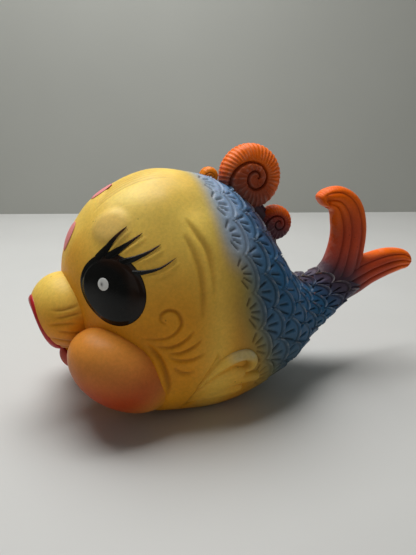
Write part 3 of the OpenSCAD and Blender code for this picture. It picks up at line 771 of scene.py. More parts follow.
def scale_relief(share, angle, per_share, per_degree):
    """Height of the scales over the skin, how deep their cuts are, and how far their edges stand out."""
    s = sizes()
    edges = np.stack([row_edge(row, angle) for row in range(ROWS + 1)])
    owner = (share[None] >= edges).sum(0) - 1
    height, cut, rub = (np.zeros(len(share)) for _ in range(3))
    for row in range(ROWS + 1):
        on = owner == row
        a, u, metres = angle[on], share[on], per_share[on]
        # Metres behind the scale's root
        past = (u - edges[row][on]) * metres
        rise = min(1.0, 0.7 + 0.2 * row) if row else 0
        middle = np.sin(np.pi * row_across(row, a)) ** 2
        groove = bell(past, GROOVE_WIDTH * MM) * (0.15 + 0.85 * middle) * rise
        if row == ROWS:
            height[on] = -s.scale_groove * groove
            # Painted shade in the last groove
            cut[on] = groove
            continue
        # Metres left to its free edge
        before = (edges[row + 1][on] - u) * metres
        slope = past / np.maximum(past + before, 1e-9) * (1 - 0.35 * bell(before, 0.16 * MM))
        grow = min(1.0, (row + 1.6) / 2.2) * (0.12 + 0.88 * smooth(-0.98, -0.35, np.sin(np.radians(a))))
        rim = 0.36 * MM * bell(before - SCALE_RIM[0] * MM, SCALE_RIM[1] * MM)
        sunk = bell(before - SCALE_DIP[0] * MM, SCALE_DIP[1] * MM)
        notch = scale_notches(row, u, a, metres, per_degree[on]) * grow
        lift = grow * (s.scale_edge * slope + rim - 0.28 * MM * sunk)
        height[on] = lift - s.scale_groove * groove - s.notch_depth * notch
        # How dark the groove, the notches and the dip behind the rim are: painted shade, with some darker
        # paint in the cuts
        cut[on] = np.maximum(np.maximum(groove, notch), 0.6 * sunk * grow)
        # Pale along the free edge: partly wear, partly painted highlight
        rub[on] = 0.75 * bell(before - 0.4 * MM, 0.5 * MM) * grow
    return height, cut, rub


def cheek_stretch(way):
    """How much further the cheek reaches along its long axis, towards the back."""
    return 1 + CHEEK_STRETCH * np.clip(way[:, :1], 0, 1) ** 2


def cheek_swelling(folded):
    """How far the skin swells up to the cheek behind it."""
    radii = np.array(CHEEK_RADII) * MM
    off = folded - place(CHEEK_AT)
    local = turned(off, CHEEK_TILT)
    local = local / cheek_stretch(unit(local))
    size = np.linalg.norm(local / radii, axis=1)
    outside = np.linalg.norm(local, axis=1) * (1 - 1 / np.maximum(size, 0.5))
    reach = CHEEK_BLEND * MM
    behind = smooth(-0.1, 0.8, (off[:, 0] - 0.9 * off[:, 2]) / radii[0])
    return np.clip(reach - np.maximum(outside, 0), 0, None) ** 2 / (3.4 * reach) * behind


def eyelid_gap(folded):
    """How far points are from the middle of the eyelid, 1 at its rim."""
    return np.linalg.norm((folded - skin_point(*EYELID_AT)) / EYELID_REACH / MM, axis=1)


def face_relief(points):
    """Lines cut in the face and the swellings on it."""
    folded = both_sides(points)
    s = sizes()
    height, cut = np.zeros(len(points)), np.zeros(len(points))
    for places, wide, deep, dark in FACE_LINES:
        mask = line_mask(folded, skin_path(places), s.line_width * wide)
        lip = line_mask(folded, skin_path(places), s.line_width * wide * 2.4)
        height -= s.line_depth * deep * (mask - 0.28 * (lip - mask))
        # Lines are darkened partly with paint, partly with painted shade
        cut = np.maximum(cut, mask * dark)
    for places in LASHES:
        below = skin_path([(u + 0.004, a - 2.6) for u, a in places[1:]])
        height += 0.5 * MM * line_mask(folded, below, 0.5 * MM)
    for places in STRANDS:
        mask = line_mask(folded, skin_path(places, 30), 0.6 * MM)
        height -= 0.4 * MM * mask
        # Strands are darkened partly with paint, partly with painted shade
        cut = np.maximum(cut, 0.45 * mask)
    height += 0.9 * MM * np.exp(-eyelid_gap(folded) ** 6)
    for at, reach, rise in SWELLINGS:
        height += rise * MM * bell(np.linalg.norm(folded - skin_point(*at), axis=1), reach * MM)
    return height + cheek_swelling(folded), cut


def head_spray(folded, share, up, z):
    """Yellow on the crown, orange below with painted shade at the front, sand over the eyelid, and a painted
    highlight high on the crown.
    """
    base = mix(colour("orange"), colour("yellow"), smooth(0.42, 0.86, z))
    behind_gills = bell(share - 0.452, 0.030) * smooth(0.95, 0.60, z)
    base = mix(base, colour("yellow"), 0.55 * behind_gills)
    base = mix(base, colour("sand"), 0.42 * np.exp(-eyelid_gap(folded) ** 5))
    # Painted shade: more orange over the front of the face, below the very top
    front = smooth(0.26, 0.14, share) * smooth(0.97, 0.86, up)
    base = mix(base, colour("orange"), 0.45 * front)
    # Painted highlight: a pale yellow glow high on the crown
    painted_highlight = bell(np.linalg.norm(folded - skin_point(*HIGHLIGHT_AT), axis=1), HIGHLIGHT_REACH * MM)
    return mix(base, colour("highlight_yellow"), 0.7 * painted_highlight)


def skin_spray(points, share, angle):
    """Colour of the sprayed paint over the body."""
    up = np.sin(np.radians(angle))
    z = points[:, 2] / sizes().head_height
    base = head_spray(both_sides(points), share, up, z)
    # Share behind the line where the blue starts, which runs further back low on the body
    past = share - (0.490 - 0.016 * np.clip(up, 0, 1) - 0.065 * np.clip(up, -1, 0))
    base = mix(base, colour("olive"), smooth(-0.05, 0.03, past) * 0.9)
    # Pale blue on top and deep blue low: partly the spray's own tones, partly painted light above and painted
    # shade below
    base = mix(base, colour("pale_blue"), smooth(-0.02, 0.04, past) * smooth(0.15, 0.7, up))
    full = mix(colour("deep_blue"), colour("blue"), smooth(0.12, 0.42, z))
    base = mix(base, full, smooth(0.0, 0.055, past) * (0.88 + 0.12 * smooth(0.06, 0.12, past)))
    # More pale blue high up where the blue starts: partly thin paint, partly painted light
    thin = smooth(0.25, 0.60, up) * smooth(0.07, 0.02, past) * smooth(-0.03, 0.005, past)
    base = mix(base, colour("pale_blue"), 0.8 * thin)
    ridge = smooth(0.42, 0.84, up) * smooth(0.53, 0.60, share)
    tail_root = smooth(0.79, 0.95, share)
    return mix(base, colour("purple"), np.maximum(ridge * 0.8, 0.9 * tail_root))


def within_limits(points):
    """Keeps points inside the side limit and above the floor."""
    points[:, 1] = np.clip(points[:, 1], -SIDE_LIMIT, SIDE_LIMIT)
    points[:, 2] = np.maximum(points[:, 2], 0.0)
    return points


def squeaker_seat(points):
    """The skin with the squeaker's stepped hole in its underside."""
    middle = np.array(SEAT_AT) * MM
    off = points[:, :2] - middle
    r = np.linalg.norm(off, axis=1)
    low = points[:, 2] < SEAT_BELOW * MM
    for radius, height in SEAT_STEPS:
        edge = low & (np.abs(r - radius * MM) < SEAT_SNAP * MM)
        points[edge, :2] = middle + off[edge] * (radius * MM / r[edge])[:, None]
        points[low & (r < radius * MM), 2] = height * MM
    return points


def vertex_values(points, spray, cut=None, rub=None):
    """A piece's vertex values: its colour, how deep it is cut, which darkens it with paint and painted shade,
    and how far its edges are paled by wear and painted highlight.
    """
    none = np.zeros(len(points))
    return {"spray": spray, "cut": none if cut is None else cut, "rub": none if rub is None else rub}


def skin_shape(first, last, crowd):
    """The skin between two shares, with its columns crowded towards the sides."""
    def shape(p, q):
        share = first + (last - first) * p
        angle = q * 360.0 - crowd * 90 / np.pi * np.sin(q * 4 * np.pi)
        points, normal, per_share, per_degree = skin_frame(share, angle)
        height, cut, rub = scale_relief(share, angle, per_share, per_degree)
        face, lines = face_relief(points)
        moved = squeaker_seat(within_limits(points + normal * (height + face)[:, None]))
        return moved, vertex_values(moved, skin_spray(points, share, angle), np.maximum(cut, lines), rub)
    return shape


def lump(p, q, at, radii, tilt=0.0, stretch=None):
    """Points of a ball of three radii, tilted about the Y axis."""
    way = ball_way((p - 0.5) * np.pi, -q * 2 * np.pi)
    local = way * radii if stretch is None else way * radii * stretch(way)
    points = turned(local, -tilt) + at
    points[:, 2] = np.maximum(points[:, 2], 0.0)
    return points


class FISH_OT_skin(bpy.types.Operator):
    """Models the head, the scaled flanks and the tail's root as skins that meet rim to rim"""
    bl_idname = "fish.skin"
    bl_label = "Skin"

    def execute(self, context):
        fit_vinyl(wrap("head_skin", 245, 400, skin_shape(0.0, JOIN_SHARE, 0.45)), "body_skin")
        fit_vinyl(wrap("scaled_flank", 220, 440, skin_shape(JOIN_SHARE, WAIST_SHARE, 0.2)))
        fit_vinyl(wrap("scaled_tail_root", 220, 440, skin_shape(WAIST_SHARE, TAIL_ROOT_SHARE, 0.0)))
        return {"FINISHED"}


def cheek(p, q):
    """A ball that is tan in front, orange above and at the back, and russet underneath, partly its redder
    spray and partly painted shade.
    """
    at, radii = place(CHEEK_AT), np.array(CHEEK_RADII) * MM
    points = lump(p, q, at, radii, CHEEK_TILT, cheek_stretch)
    z = (points[:, 2] - at[2]) / radii[1]
    along = ((points - at) @ CHEEK_AXIS) / radii[0]
    base = mix(colour("tan"), colour("orange"), 0.4 * smooth(0.2, 1.0, z))
    # Russet underneath: partly a redder spray, partly painted shade
    base = mix(base, colour("russet"), smooth(0.62, -0.45, z) * smooth(1.0, 0.15, along))
    return points, vertex_values(points, mix(base, colour("orange"), smooth(0.55, 1.0, along) * 0.8))


class FISH_OT_cheeks(bpy.types.Operator):
    """Models the two ball cheeks"""
    bl_idname = "fish.cheeks"
    bl_label = "Cheeks"

    def execute(self, context):
        fit_pair(wrap("left_cheek", 90, 180, cheek), "right_cheek", vinyl_material(), SKIN_SLOT)
        return {"FINISHED"}


def mouth_frame():
    """Middle of the mouth's opening, its outward normal, and the way up along it."""
    t = math.radians(MOUTH_TILT)
    normal = np.array([-math.cos(t), 0.0, -math.sin(t)])
    return place(MOUTH_AT), normal, np.array([-math.sin(t), 0.0, math.cos(t)])


def bow(rise):
    """How far the lips stand out of the mouth's plane at a height along it."""
    reach, bulge = MOUTH_REACH * MM, MOUTH_BULGE * MM
    radius = (reach**2 + bulge**2) / (2 * bulge)
    return bulge - radius + np.sqrt(np.maximum(radius**2 - rise**2, 0))


def mouth_rim(turn):
    """Points where the lips' bowed edge meets the snout, around the mouth."""
    middle, normal, up = mouth_frame()
    at, radii = place(SNOUT_AT), np.array(SNOUT_RADII) * MM
    low, high = np.zeros(len(turn)), np.full(len(turn), 20 * MM)
    for _ in range(HALVINGS):
        half = (low + high) / 2
        rise = half * np.cos(turn)
        points = middle + rise[:, None] * up + normal * bow(rise)[:, None]
        points[:, 1] += half * np.sin(turn)
        inside = np.linalg.norm(turned(points - at, SNOUT_TILT) / radii, axis=1) < 1
        low, high = np.where(inside, half, low), np.where(inside, high, half)
    return points


def snout_creases(points):
    """Wavy lines across the side of the snout, 1 at their bottoms."""
    at = place(SNOUT_AT)
    x, _, z = points.T
    creases = np.zeros(len(points))
    for k in range(SNOUT_CREASES):
        wave = 0.9 * np.sin((x - at[0]) / (4.5 * MM) + k)
        level = at[2] + (CREASE_TOP - CREASE_STEP * k + wave) * MM
        start = (CREASE_START + 1.4 * math.sin(2.6 * k)) * MM
        end = start + CREASE_LENGTH * MM
        along = smooth(start, start + 3 * MM, x) * smooth(end, end - 4 * MM, x)
        creases = np.maximum(creases, bell(z - level, 0.5 * MM) * along)
    return creases


def snout(p, q):
    """The snout's ball, cut at the mouth with a rolled lip around a sunk inside."""
    at, radii = place(SNOUT_AT), np.array(SNOUT_RADII) * MM
    middle, normal, up = mouth_frame()
    points = lump(p, q, at, radii, SNOUT_TILT)
    off = (points - middle) @ normal - bow((points - middle) @ up)
    inside = smooth(0.9 * MM, 2.4 * MM, off)
    lip = bell(off - 0.2 * MM, 0.9 * MM) * (off > 0)
    creases = snout_creases(points) * (off <= 0)
    moved = points - np.maximum(off, 0)[:, None] * normal
    moved += normal * (0.3 * MM * lip - 4.0 * MM * inside)[:, None]
    moved -= unit(points - at) * (0.45 * MM * creases)[:, None]
    z = (points[:, 2] - at[2]) / radii[2]
    base = mix(colour("orange"), colour("yellow"), smooth(-0.2, 0.9, z))
    base = mix(base, colour("tan"), 0.6 * smooth(0.0, -0.8, z))
    # The creases are darkened partly with paint, partly with painted shade
    return moved, vertex_values(moved, mix(base, colour("russet"), 0.5 * inside), 0.4 * creases)


def lip_line(p, q):
    """A bead of paint around the mouth's rim, wider below."""
    turn, section = p * 2 * np.pi, q * 2 * np.pi
    middle, normal, _ = mouth_frame()
    low, top = smooth(0.5, -1.0, np.cos(turn)), smooth(0.5, 1.0, np.cos(turn))
    wide = (0.9 + 0.9 * low + 0.3 * top) * MM
    rim = mouth_rim(turn)
    out = unit(rim - middle - normal * ((rim - middle) @ normal)[:, None])
    slant = unit(out * 0.8 - normal)
    points = rim + slant * (wide * (0.5 + np.cos(section)))[:, None]
    points += np.cross(slant, np.cross(out, normal)) * ((0.45 * np.sin(section) - 0.1) * wide)[:, None]
    points[:, 0] = np.maximum(points[:, 0], CAD_BOX[0][0] + FRONT_GAP * MM)
    return points, vertex_values(points, np.ones((len(points), 3)))


def lower_lip(p, q):
    """A ball of orange that turns russet underneath."""
    points = lump(p, q, place(LOWER_LIP_AT), np.array(LOWER_LIP_RADII) * MM)
    low = smooth(22 * MM, 14 * MM, points[:, 2])
    return points, vertex_values(points, mix(colour("orange"), colour("russet"), low))


def lower_coat(p, q):
    """Paint on the front of the lower lip, with a darker edge."""
    spoke, ring = q * 2 * np.pi, there_and_back(p)
    lon = np.pi + np.radians(LIP_COAT_REACH[0]) * ring * np.cos(spoke)
    lat = -np.radians(LIP_COAT_REACH[1]) * ring * np.sin(spoke) - np.radians(LIP_COAT_DROP)
    thickness = np.where(p < 0.5, 0.35 * np.sqrt(np.clip(1 - ring**4, 0, 1)), 0)
    lift = (COAT_GAP + thickness) * MM
    points = place(LOWER_LIP_AT) + ball_way(lat, lon) * (np.array(LOWER_LIP_RADII) * MM + lift[:, None])
    return points, vertex_values(points, mix(np.ones(3), np.array(LIP_EDGE_TINT), smooth(0.78, 0.95, ring)))


class FISH_OT_mouth(bpy.types.Operator):
    """Models the snout, its painted lip and the lower lip"""
    bl_idname = "fish.mouth"
    bl_label = "Mouth"

    def execute(self, context):
        fit_vinyl(wrap("snout", 130, 220, snout))
        fit(wrap("lip_line_paint", 200, 20, lip_line, caps=False), red_paint(), "red_paint", "lip_line")
        fit_vinyl(wrap("lower_lip", 60, 120, lower_lip))
        coat = wrap("lower_lip_coat", 40, 60, lower_coat, caps=False)
        fit(coat, pink_paint(), "pink_paint", "lower_lip_paint")
        return {"FINISHED"}


def curl_profile(across):
    """Share of a curl's radius and of its half thickness, from the middle of the rim to that of a face."""
    on_face = across > RIM_PART
    ratio = np.where(on_face, RIM_RATIO * (1 - across) / (1 - RIM_PART), 0)
    edge = (1 - RIM_RATIO**3) ** (1 / 3)
    y = np.where(on_face, (1 - ratio**3) ** (1 / 3), edge * across / RIM_PART)
    return np.where(on_face, ratio, (1 - y**3) ** (1 / 3)), y


def curl_coils(clock, ratio, radius):
    """Outer and inner edge of the coil that a point is in, its turn, and the groove and ridge beside it."""
    outer, inner, groove, ridge = (np.full(len(clock), start) for start in (1.0, 0.0, 0.0, 0.0))
    wound = np.where(clock >= COIL[0][0], clock - 360, clock)
    for k in range(3):
        turn = clock + 360 * k
        line = np.interp(turn, *np.array(COIL).T, left=1.0, right=0.0)
        real = (turn >= COIL[0][0]) & (turn <= COIL[-1][0])
        within = real & (ratio < line)
        outer, wound = np.where(within, line, outer), np.where(within, turn, wound)
        inner = np.where(real & (ratio >= line) & (line > inner), line, inner)
        gap = (ratio - line) * radius
        fade = smooth(COIL[0][0], COIL[0][0] + COIL_FADE, turn) * real
        wide = (0.30 + 0.35 * line) * radius / FULL_CURL
        groove = np.maximum(groove, bell(gap - 0.5 * wide, wide) * fade)
        ridge = np.maximum(ridge, bell(gap + 1.3 * wide, 1.2 * wide) * fade)
    return outer, inner, wound, groove, ridge


def curl_pleats(wound, ratio, f, radius, pleats):
    """Cuts across the coils, 1 at their bottoms."""
    turns, shares = np.array(PLEATS).T
    off = np.abs(np.interp(wound, turns, shares) * pleats % 1.0 - 0.5)
    step = np.interp(wound, turns, np.gradient(shares * pleats, turns))
    gap = off / np.maximum(step, 1e-6) * np.pi / 180 * np.maximum(ratio, 0.15) * radius
    wide = (0.20 + 0.26 * (1 - f)) * radius / FULL_CURL + 0.08 * MM
    return bell(gap, wide) * (1 - smooth(0.55, 0.95, f)) * (wound < PLEATS_END)


def curl_shape(at, radius, thickness, pleats, dark, fresh):
    """A coiled horn laid flat: a spiral groove on both faces and cuts across its coils."""
    middle = place(at)
    size = radius / (FULL_CURL * MM)

    def shape(p, q):
        s = sizes()
        ratio, y = curl_profile(np.abs(2 * p - 1))
        face = smooth(0.25, 0.62, y)
        outer, inner, wound, groove, ridge = curl_coils(q * 360.0, ratio, radius)
        f = (outer - ratio) / np.maximum(outer - inner, 1e-6)
        pleat = curl_pleats(wound, ratio, f, radius, pleats) * size
        tube = np.sqrt(np.clip(1 - (2 * f - 1) ** 2, 0, 1)) * (inner > 0)
        swell = (0.30 * tube + 0.30 * ridge + 0.5 * bell(ratio, 0.13)) * MM * size
        sink = s.curl_groove * groove * size - 0.55 * s.curl_cut * pleat
        half = y * thickness / 2 - (sink - swell) * face - CURL_THINNER * MM
        r = ratio * radius - CURL_SMALLER * MM + 0.4 * s.curl_cut * pleat * (1 - face)
        turn = np.radians(q * 360.0)
        side = np.where(p < 0.5, -1.0, 1.0)
        points = middle + np.stack([r * np.sin(turn), side * half, r * np.cos(turn)], -1)
        # Coral where the curl faces up, brick lower and purple at the bottom: partly the curl's own colours,
        # partly painted light and painted shade
        level = (points[:, 2] - middle[2]) / radius + 0.5 * ratio * np.sin(turn)
        lit = smooth(-0.35 + dark, 0.75 + dark, level + 1.3 * (ratio - 0.6))
        base = mix(colour("brick"), colour("coral"), lit)
        base = mix(base, colour("purple"), smooth(-0.1 + dark, -1.0 + dark, level) * 0.85)
        base = mix(base, colour("amber"), fresh)
        # Darker in the spiral groove with paint and painted shade; paler on ridges and pleats from wear and
        # painted highlight
        return points, vertex_values(points, base, 0.8 * groove, np.maximum(0.25 * ridge, 0.35 * pleat))
    return shape


def path_step(table, share):
    """Change of a table's spline from just before to just after each share."""
    return spline(table, np.minimum(share + PATH_PROBE, 1)) - spline(table, np.maximum(share - PATH_PROBE, 0))


def back_ridge(p, q):
    """The fluted ridge that carries the curls."""
    s = sizes()
    scale = np.array([s.toy_length, s.head_height])
    rows = spline(RIDGE_SHARES, p)
    way = unit(path_step(RIDGE_SHARES, p)[:, :2] * scale)
    a = q * 2 * np.pi
    valley = (1 + np.cos(a * RIDGE_FLUTES)) / 2
    r = RIDGE_RADIUS * MM * rows[:, 2] * (1 - 0.12 * valley)
    middle = rows[:, :2] * scale
    points = np.stack([
        middle[:, 0] - way[:, 1] * r * np.cos(a), RIDGE_FLAT * r * np.sin(a),
        middle[:, 1] + way[:, 0] * r * np.cos(a)], -1)
    base = mix(colour("purple"), colour("orange"), smooth(0.35, 0.0, p))
    # Painted shade in the valleys between the flutes
    return points, vertex_values(points, base, 0.5 * valley)


class FISH_OT_crest(bpy.types.Operator):
    """Models the three curls on the back and the ridge that carries them"""
    bl_idname = "fish.crest"
    bl_label = "Crest"

    def execute(self, context):
        for name, at, radius, thickness, pleats, columns, dark, fresh in CURLS:
            shape = curl_shape(at, radius * MM, thickness * MM, pleats, dark, fresh)
            fit_vinyl(wrap(name, 200, columns, shape))
        fit_vinyl(wrap("back_ridge", 60, 90, back_ridge))
        return {"FINISHED"}


def flutes(across, valleys):
    """Round flutes between the valleys across a blade: 1 on their tops, 0 in the valleys."""
    top = np.ones(len(across))
    for before, after in zip((-1.0, *valleys), (*valleys, 1.0)):
        on = (across >= before) & (across <= after)
        spot = 2 * (across - before) / (after - before) - 1
        top = np.where(on, np.sqrt(np.clip(1 - np.abs(spot) ** 2.2, 0, 1)), top)
    return top


def lobe_shape(table, thickness, valleys, serrate, tooth_side, curled, lit):
    """A fluted blade of the tail along its middle line."""
    def shape(p, q):
        s = sizes()
        scale = np.array([s.toy_length, s.head_height, s.head_height, thickness * MM / 2])
        rows = spline(table, p) * scale
        way = unit((path_step(table, p) * scale)[:, :2])
        a = q * 2 * np.pi
        across, side = np.cos(a), np.sign(np.sin(a))
        tip = np.sqrt(np.clip(1 - (np.maximum(p - 0.93, 0) / 0.07) ** 2, 0, 1)) * curled + 1 - curled
        half, thick = rows[:, 2] * tip, rows[:, 3] * tip
        edge = np.minimum(1 - np.abs(across), 0.25) / 0.25
        cut = (1 - flutes(across, valleys)) * smooth(0.0, 0.15, p) * (1 - smooth(0.80, 0.97, p)) * edge
        teeth = np.maximum(0, np.sin(p * 2 * np.pi * serrate)) ** 4
        teeth = teeth * (across * tooth_side > 0.6) * smooth(0.5, 0.75, p)
        dimple = bell(p - 0.90, 0.035) * bell(across + tooth_side * 0.15, 0.5) * curled
        y = side * thick * np.abs(np.sin(a)) ** 0.85 - side * (s.fin_flute * cut + 1.2 * MM * dimple)
        reach = half * across * (1 - 0.06 * teeth)
        points = np.stack([rows[:, 0] - way[:, 1] * reach, y, rows[:, 1] + way[:, 0] * reach], -1)
        # Coral towards the tips and edges, ember along the blade: partly the tail's own colours, partly
        # painted light
        outward = p + (0.35 + 0.2 * tooth_side * across) * np.abs(across) ** 3
        base = mix(colour("ember"), colour("coral"), smooth(0.72 - lit, 1.15 - lit, outward))
        base = mix(base, colour("purple"), smooth(0.34, 0.08, p))
        # Painted shade in the flutes and the dimple, and a pale edge from wear and painted highlight
        dark = np.minimum(1, 0.75 * cut + 0.5 * dimple)
        return points, vertex_values(points, base, dark, 0.3 * np.abs(across) ** 6)
    return shape


class FISH_OT_tail(bpy.types.Operator):
    """Models the tail's curled upper lobe and its lower lobe"""
    bl_idname = "fish.tail"
    bl_label = "Tail"

    def execute(self, context):
        for name, *looks in LOBES:
            fit_vinyl(wrap(name, 220, 220, lobe_shape(*looks)))
        return {"FINISHED"}


def fin_relief(share, angle, per_share, per_degree):
    """Height of the leaf over the skin from the rolls that make it up, and how deep in its hollow it is."""
    height = np.full(len(share), -FIN_SUNK * MM)
    for table, soft in FIN_ROLLS:
        rows = spline(table, np.linspace(0, 1, 50))
        gap = np.hypot((share[:, None] - rows[:, 0]) * per_share[:, None],
                       (angle[:, None] - rows[:, 1]) * per_degree[:, None]) / (rows[:, 2] * MM)
        roll = rows[:, 3] * MM * np.sqrt(np.clip(1 - gap**2, 0, None)) - 1.2 * MM * np.clip(gap - 0.9, 0, 1)
        top = roll.max(1)
        blend = np.clip(0.5 + (height - top) / (2 * soft * MM), 0, 1)
        height = height * blend + top * (1 - blend) + soft * MM * blend * (1 - blend)
    along = (share - FIN_HOLLOW[0]) * per_share / FIN_HOLLOW_REACH[0]
    around = (angle - FIN_HOLLOW[1]) * per_degree / FIN_HOLLOW_REACH[1]
    hollow = bell(np.hypot(along, around), MM)
    return height - FIN_HOLLOW_DEPTH * MM * hollow, hollow


def fin_shape(p, q):
    """A leaf lying on the skin: its outside for the first half of the columns, its back for the rest."""
    share = FIN_AREA[0] + (FIN_AREA[1] - FIN_AREA[0]) * p
    angle = FIN_AREA[2] + (FIN_AREA[3] - FIN_AREA[2]) * there_and_back(q)
    centre, normal, per_share, per_degree = skin_frame(share, angle)
    height, hollow = fin_relief(share, angle, per_share, per_degree)
    height = np.where(q < 0.5, np.maximum(height, -FIN_SUNK * MM), -FIN_BACK * MM)
    points = within_limits(centre + normal * height[:, None])
    z = points[:, 2] / sizes().head_height
    base = mix(skin_spray(centre, share, angle), colour("yellow"), 0.15 + 0.3 * smooth(0.1, 0.3, z))
    edge = smooth(-24.5, -19.0, angle) * smooth(0.455, 0.48, share)
    # Painted shade in the fin's hollow, and a pale rim from wear and painted highlight
    return points, vertex_values(points, mix(base, colour("sage"), edge * 0.5), 0.6 * hollow, 0.4 * edge)


class FISH_OT_belly_fins(bpy.types.Operator):
    """Models the rolled fins low on both sides"""
    bl_idname = "fish.belly_fins"
    bl_label = "Belly fins"

    def execute(self, context):
        left = wrap("left_belly_fin", 170, 280, fin_shape)
        fit_pair(left, "right_belly_fin", vinyl_material(), SKIN_SLOT)
        return {"FINISHED"}


def patch_shape(at, radii, turn, gap, profile, tint):
    """A coat of paint on the skin: an oval whose thickness follows its radius. Sizes are millimetres."""
    def shape(p, q):
        spoke, ring = -q * 2 * np.pi, there_and_back(p)
        _, _, per_share, per_degree = skin_frame(*at)
        s, t = radii[0] * MM * ring * np.cos(spoke), radii[1] * MM * ring * np.sin(spoke)
        c, d = math.cos(math.radians(turn)), math.sin(math.radians(turn))
        share = at[0] + (s * c - t * d) / per_share
        angle = at[1] + (s * d + t * c) / per_degree
        base, normal, _, _ = skin_frame(share, angle)
        lift = np.where(p < 0.5, gap + profile(ring, spoke), gap) * MM
        points = base + normal * lift[:, None]
        return points, vertex_values(points, tint(ring, spoke))
    return shape


def eye_dome(ring, spoke):
    """A flat rim around a domed middle that sits a little forward."""
    inner = np.hypot(ring * np.cos(spoke) - 0.075, ring * np.sin(spoke) + 0.03) / 0.92
    return 0.26 * (1 - ring**12) + 0.75 * smooth(1.0, 0.86, inner) * np.cos(inner * 0.9)


def eye_tint(ring, spoke):
    """A painted brown reflection low behind, and brown on the rim where the black is thin."""
    # Painted reflection: brown low behind on the black
    low = smooth(0.2, 0.9, np.cos(spoke - 0.9))
    brown = mix(np.ones(3), np.array(EYE_REFLECTION_TINT), smooth(0.55, 0.80, ring) * low * 0.8)
    return mix(brown, np.array(EYE_RIM_TINT), smooth(0.94, 1.0, ring) * 0.5)


def glint_dome(ring, spoke):
    return 0.3 * np.sqrt(np.clip(1 - ring**3, 0, 1))


def glint_tint(ring, spoke):
    """White with a small dark mark."""
    mark = bell(ring * np.cos(spoke) + 0.15, 0.20) * bell(ring * np.sin(spoke), 0.28)
    return mix(np.ones(3), np.array(GLINT_MARK_TINT), mark * 0.9)


def spot_dome(ring, spoke):
    return 0.22 * np.sqrt(np.clip(1 - ring**4, 0, 1))


def even_tint(ring, spoke):
    return np.ones((len(ring), 3))


def lash_shape(places, start, end, shift, width):
    """One brush stroke of a lash, thin at its tip, with its shift and width in millimetres."""
    def shape(p, q):
        along = start + (end - start) * p
        ahead = skin_point(*spline(places, np.minimum(along + LASH_PROBE, 1)).T)
        behind = skin_point(*spline(places, np.maximum(along - LASH_PROBE, 0)).T)
        base, normal, _, _ = skin_frame(*spline(places, along).T)
        base = base + normal * np.maximum(face_relief(base)[0], 0)[:, None]
        side = unit(np.cross(normal, ahead - behind))
        belly = 0.8 + 0.2 * np.sin(np.pi * np.clip(p * 1.6, 0, 1))
        wide = width * belly * (1 - p) ** 0.8 + 0.04
        a = -q * 2 * np.pi
        points = base + side * ((wide * np.cos(a) + shift * (0.75 - 0.5 * p)) * MM)[:, None]
        points += normal * ((0.14 + 0.20 * (1 - 0.4 * abs(shift)) * (1 + np.sin(a))) * MM)[:, None]
        tip = smooth(0.5, 1.0, p) * (0.6 + 0.4 * abs(shift))
        return points, vertex_values(points, mix(np.ones(3), np.array(LASH_TIP_TINT), tip))
    return shape


class FISH_OT_eyes(bpy.types.Operator):
    """Paints the eyes, their glints and lashes as raised coats of enamel"""
    bl_idname = "fish.eyes"
    bl_label = "Eyes"

    def execute(self, context):
        black = black_enamel()
        shape = patch_shape(EYE_AT, EYE_RADII, EYE_TURN, COAT_GAP, eye_dome, eye_tint)
        left = wrap("left_eye_enamel", 100, 160, shape, caps=False)
        fit_pair(left, "right_eye_enamel", black, "black_enamel", ["left_eye"], ["right_eye"])
        shape = patch_shape(GLINT_AT, (GLINT_RADIUS, GLINT_RADIUS), 0, GLINT_GAP, glint_dome, glint_tint)
        left = wrap("left_glint_enamel", 30, 48, shape, caps=False)
        fit_pair(left, "right_glint_enamel", white_enamel(), "white_enamel", ["left_glint"], ["right_glint"])
        strokes = []
        for places, broad in zip(LASHES, LASH_WIDTHS):
            for step, start, end, wide in STROKES:
                shape = lash_shape(places, start, end, step * broad, wide * broad)
                strokes.append(wrap("lash", 40, 16, shape))
        left = joined(strokes, "left_lash_enamel")
        fit_pair(left, "right_lash_enamel", black, "black_enamel", ["left_lashes"], ["right_lashes"])
        return {"FINISHED"}


class FISH_OT_spots(bpy.types.Operator):
    """Paints the two spots on the forehead"""
    bl_idname = "fish.spots"
    bl_label = "Forehead spots"

    def execute(self, context):
        spots = []
        for at, share in SPOTS:
            radii = [share * radius for radius in SPOT_RADII]
            shape = patch_shape(at, radii, 0, COAT_GAP, spot_dome, even_tint)
            spots.append(wrap("spot", 40, 60, shape, caps=False))
        # The spots keep the plain matt pink that the frame brings
        fit(joined(spots, "forehead_paint"), bpy.data.materials["pink_paint"], "pink_paint", "forehead_spots")
        return {"FINISHED"}


class FISH_OT_squeaker(bpy.types.Operator):
    """Finishes the squeaker's own parts"""
    bl_idname = "fish.squeaker"
    bl_label = "Squeaker"

    def execute(self, context):
        plastic, brass = squeaker_plastic(), reed_brass()
        for node in ("squeaker_cup", "reed_plate", "reed_clamp", "reed"):
            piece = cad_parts[node]
            piece.data.materials.clear()
            piece.data.materials.append(brass if node == "reed" else plastic)
        return {"FINISHED"}


def flat_ground(name, material, at, turn):
    """A wide flat square, turned and then placed."""
    mesh_bm = bmesh.new()
    bmesh.ops.create_grid(mesh_bm, x_segments=4, y_segments=4, size=GROUND_SIZE)
    bmesh.ops.transform(mesh_bm, matrix=Matrix.Translation(at) @ turn, verts=mesh_bm.verts)
    piece = finish_piece(name, mesh_bm)
    piece.data.materials.append(material)
    return piece


def add_light(name, at, size, power):
    """A square lamp that points at the fish."""
    data = bpy.data.lights.new(name, "AREA")
    data.size = size
    data.energy = power
    lamp = bpy.data.objects.new(name, data)
    lamp.location = at
    lamp.rotation_euler = (Vector(at) - Vector(LIGHT_TARGET)).to_track_quat("Z", "Y").to_euler()
    bpy.context.collection.objects.link(lamp)


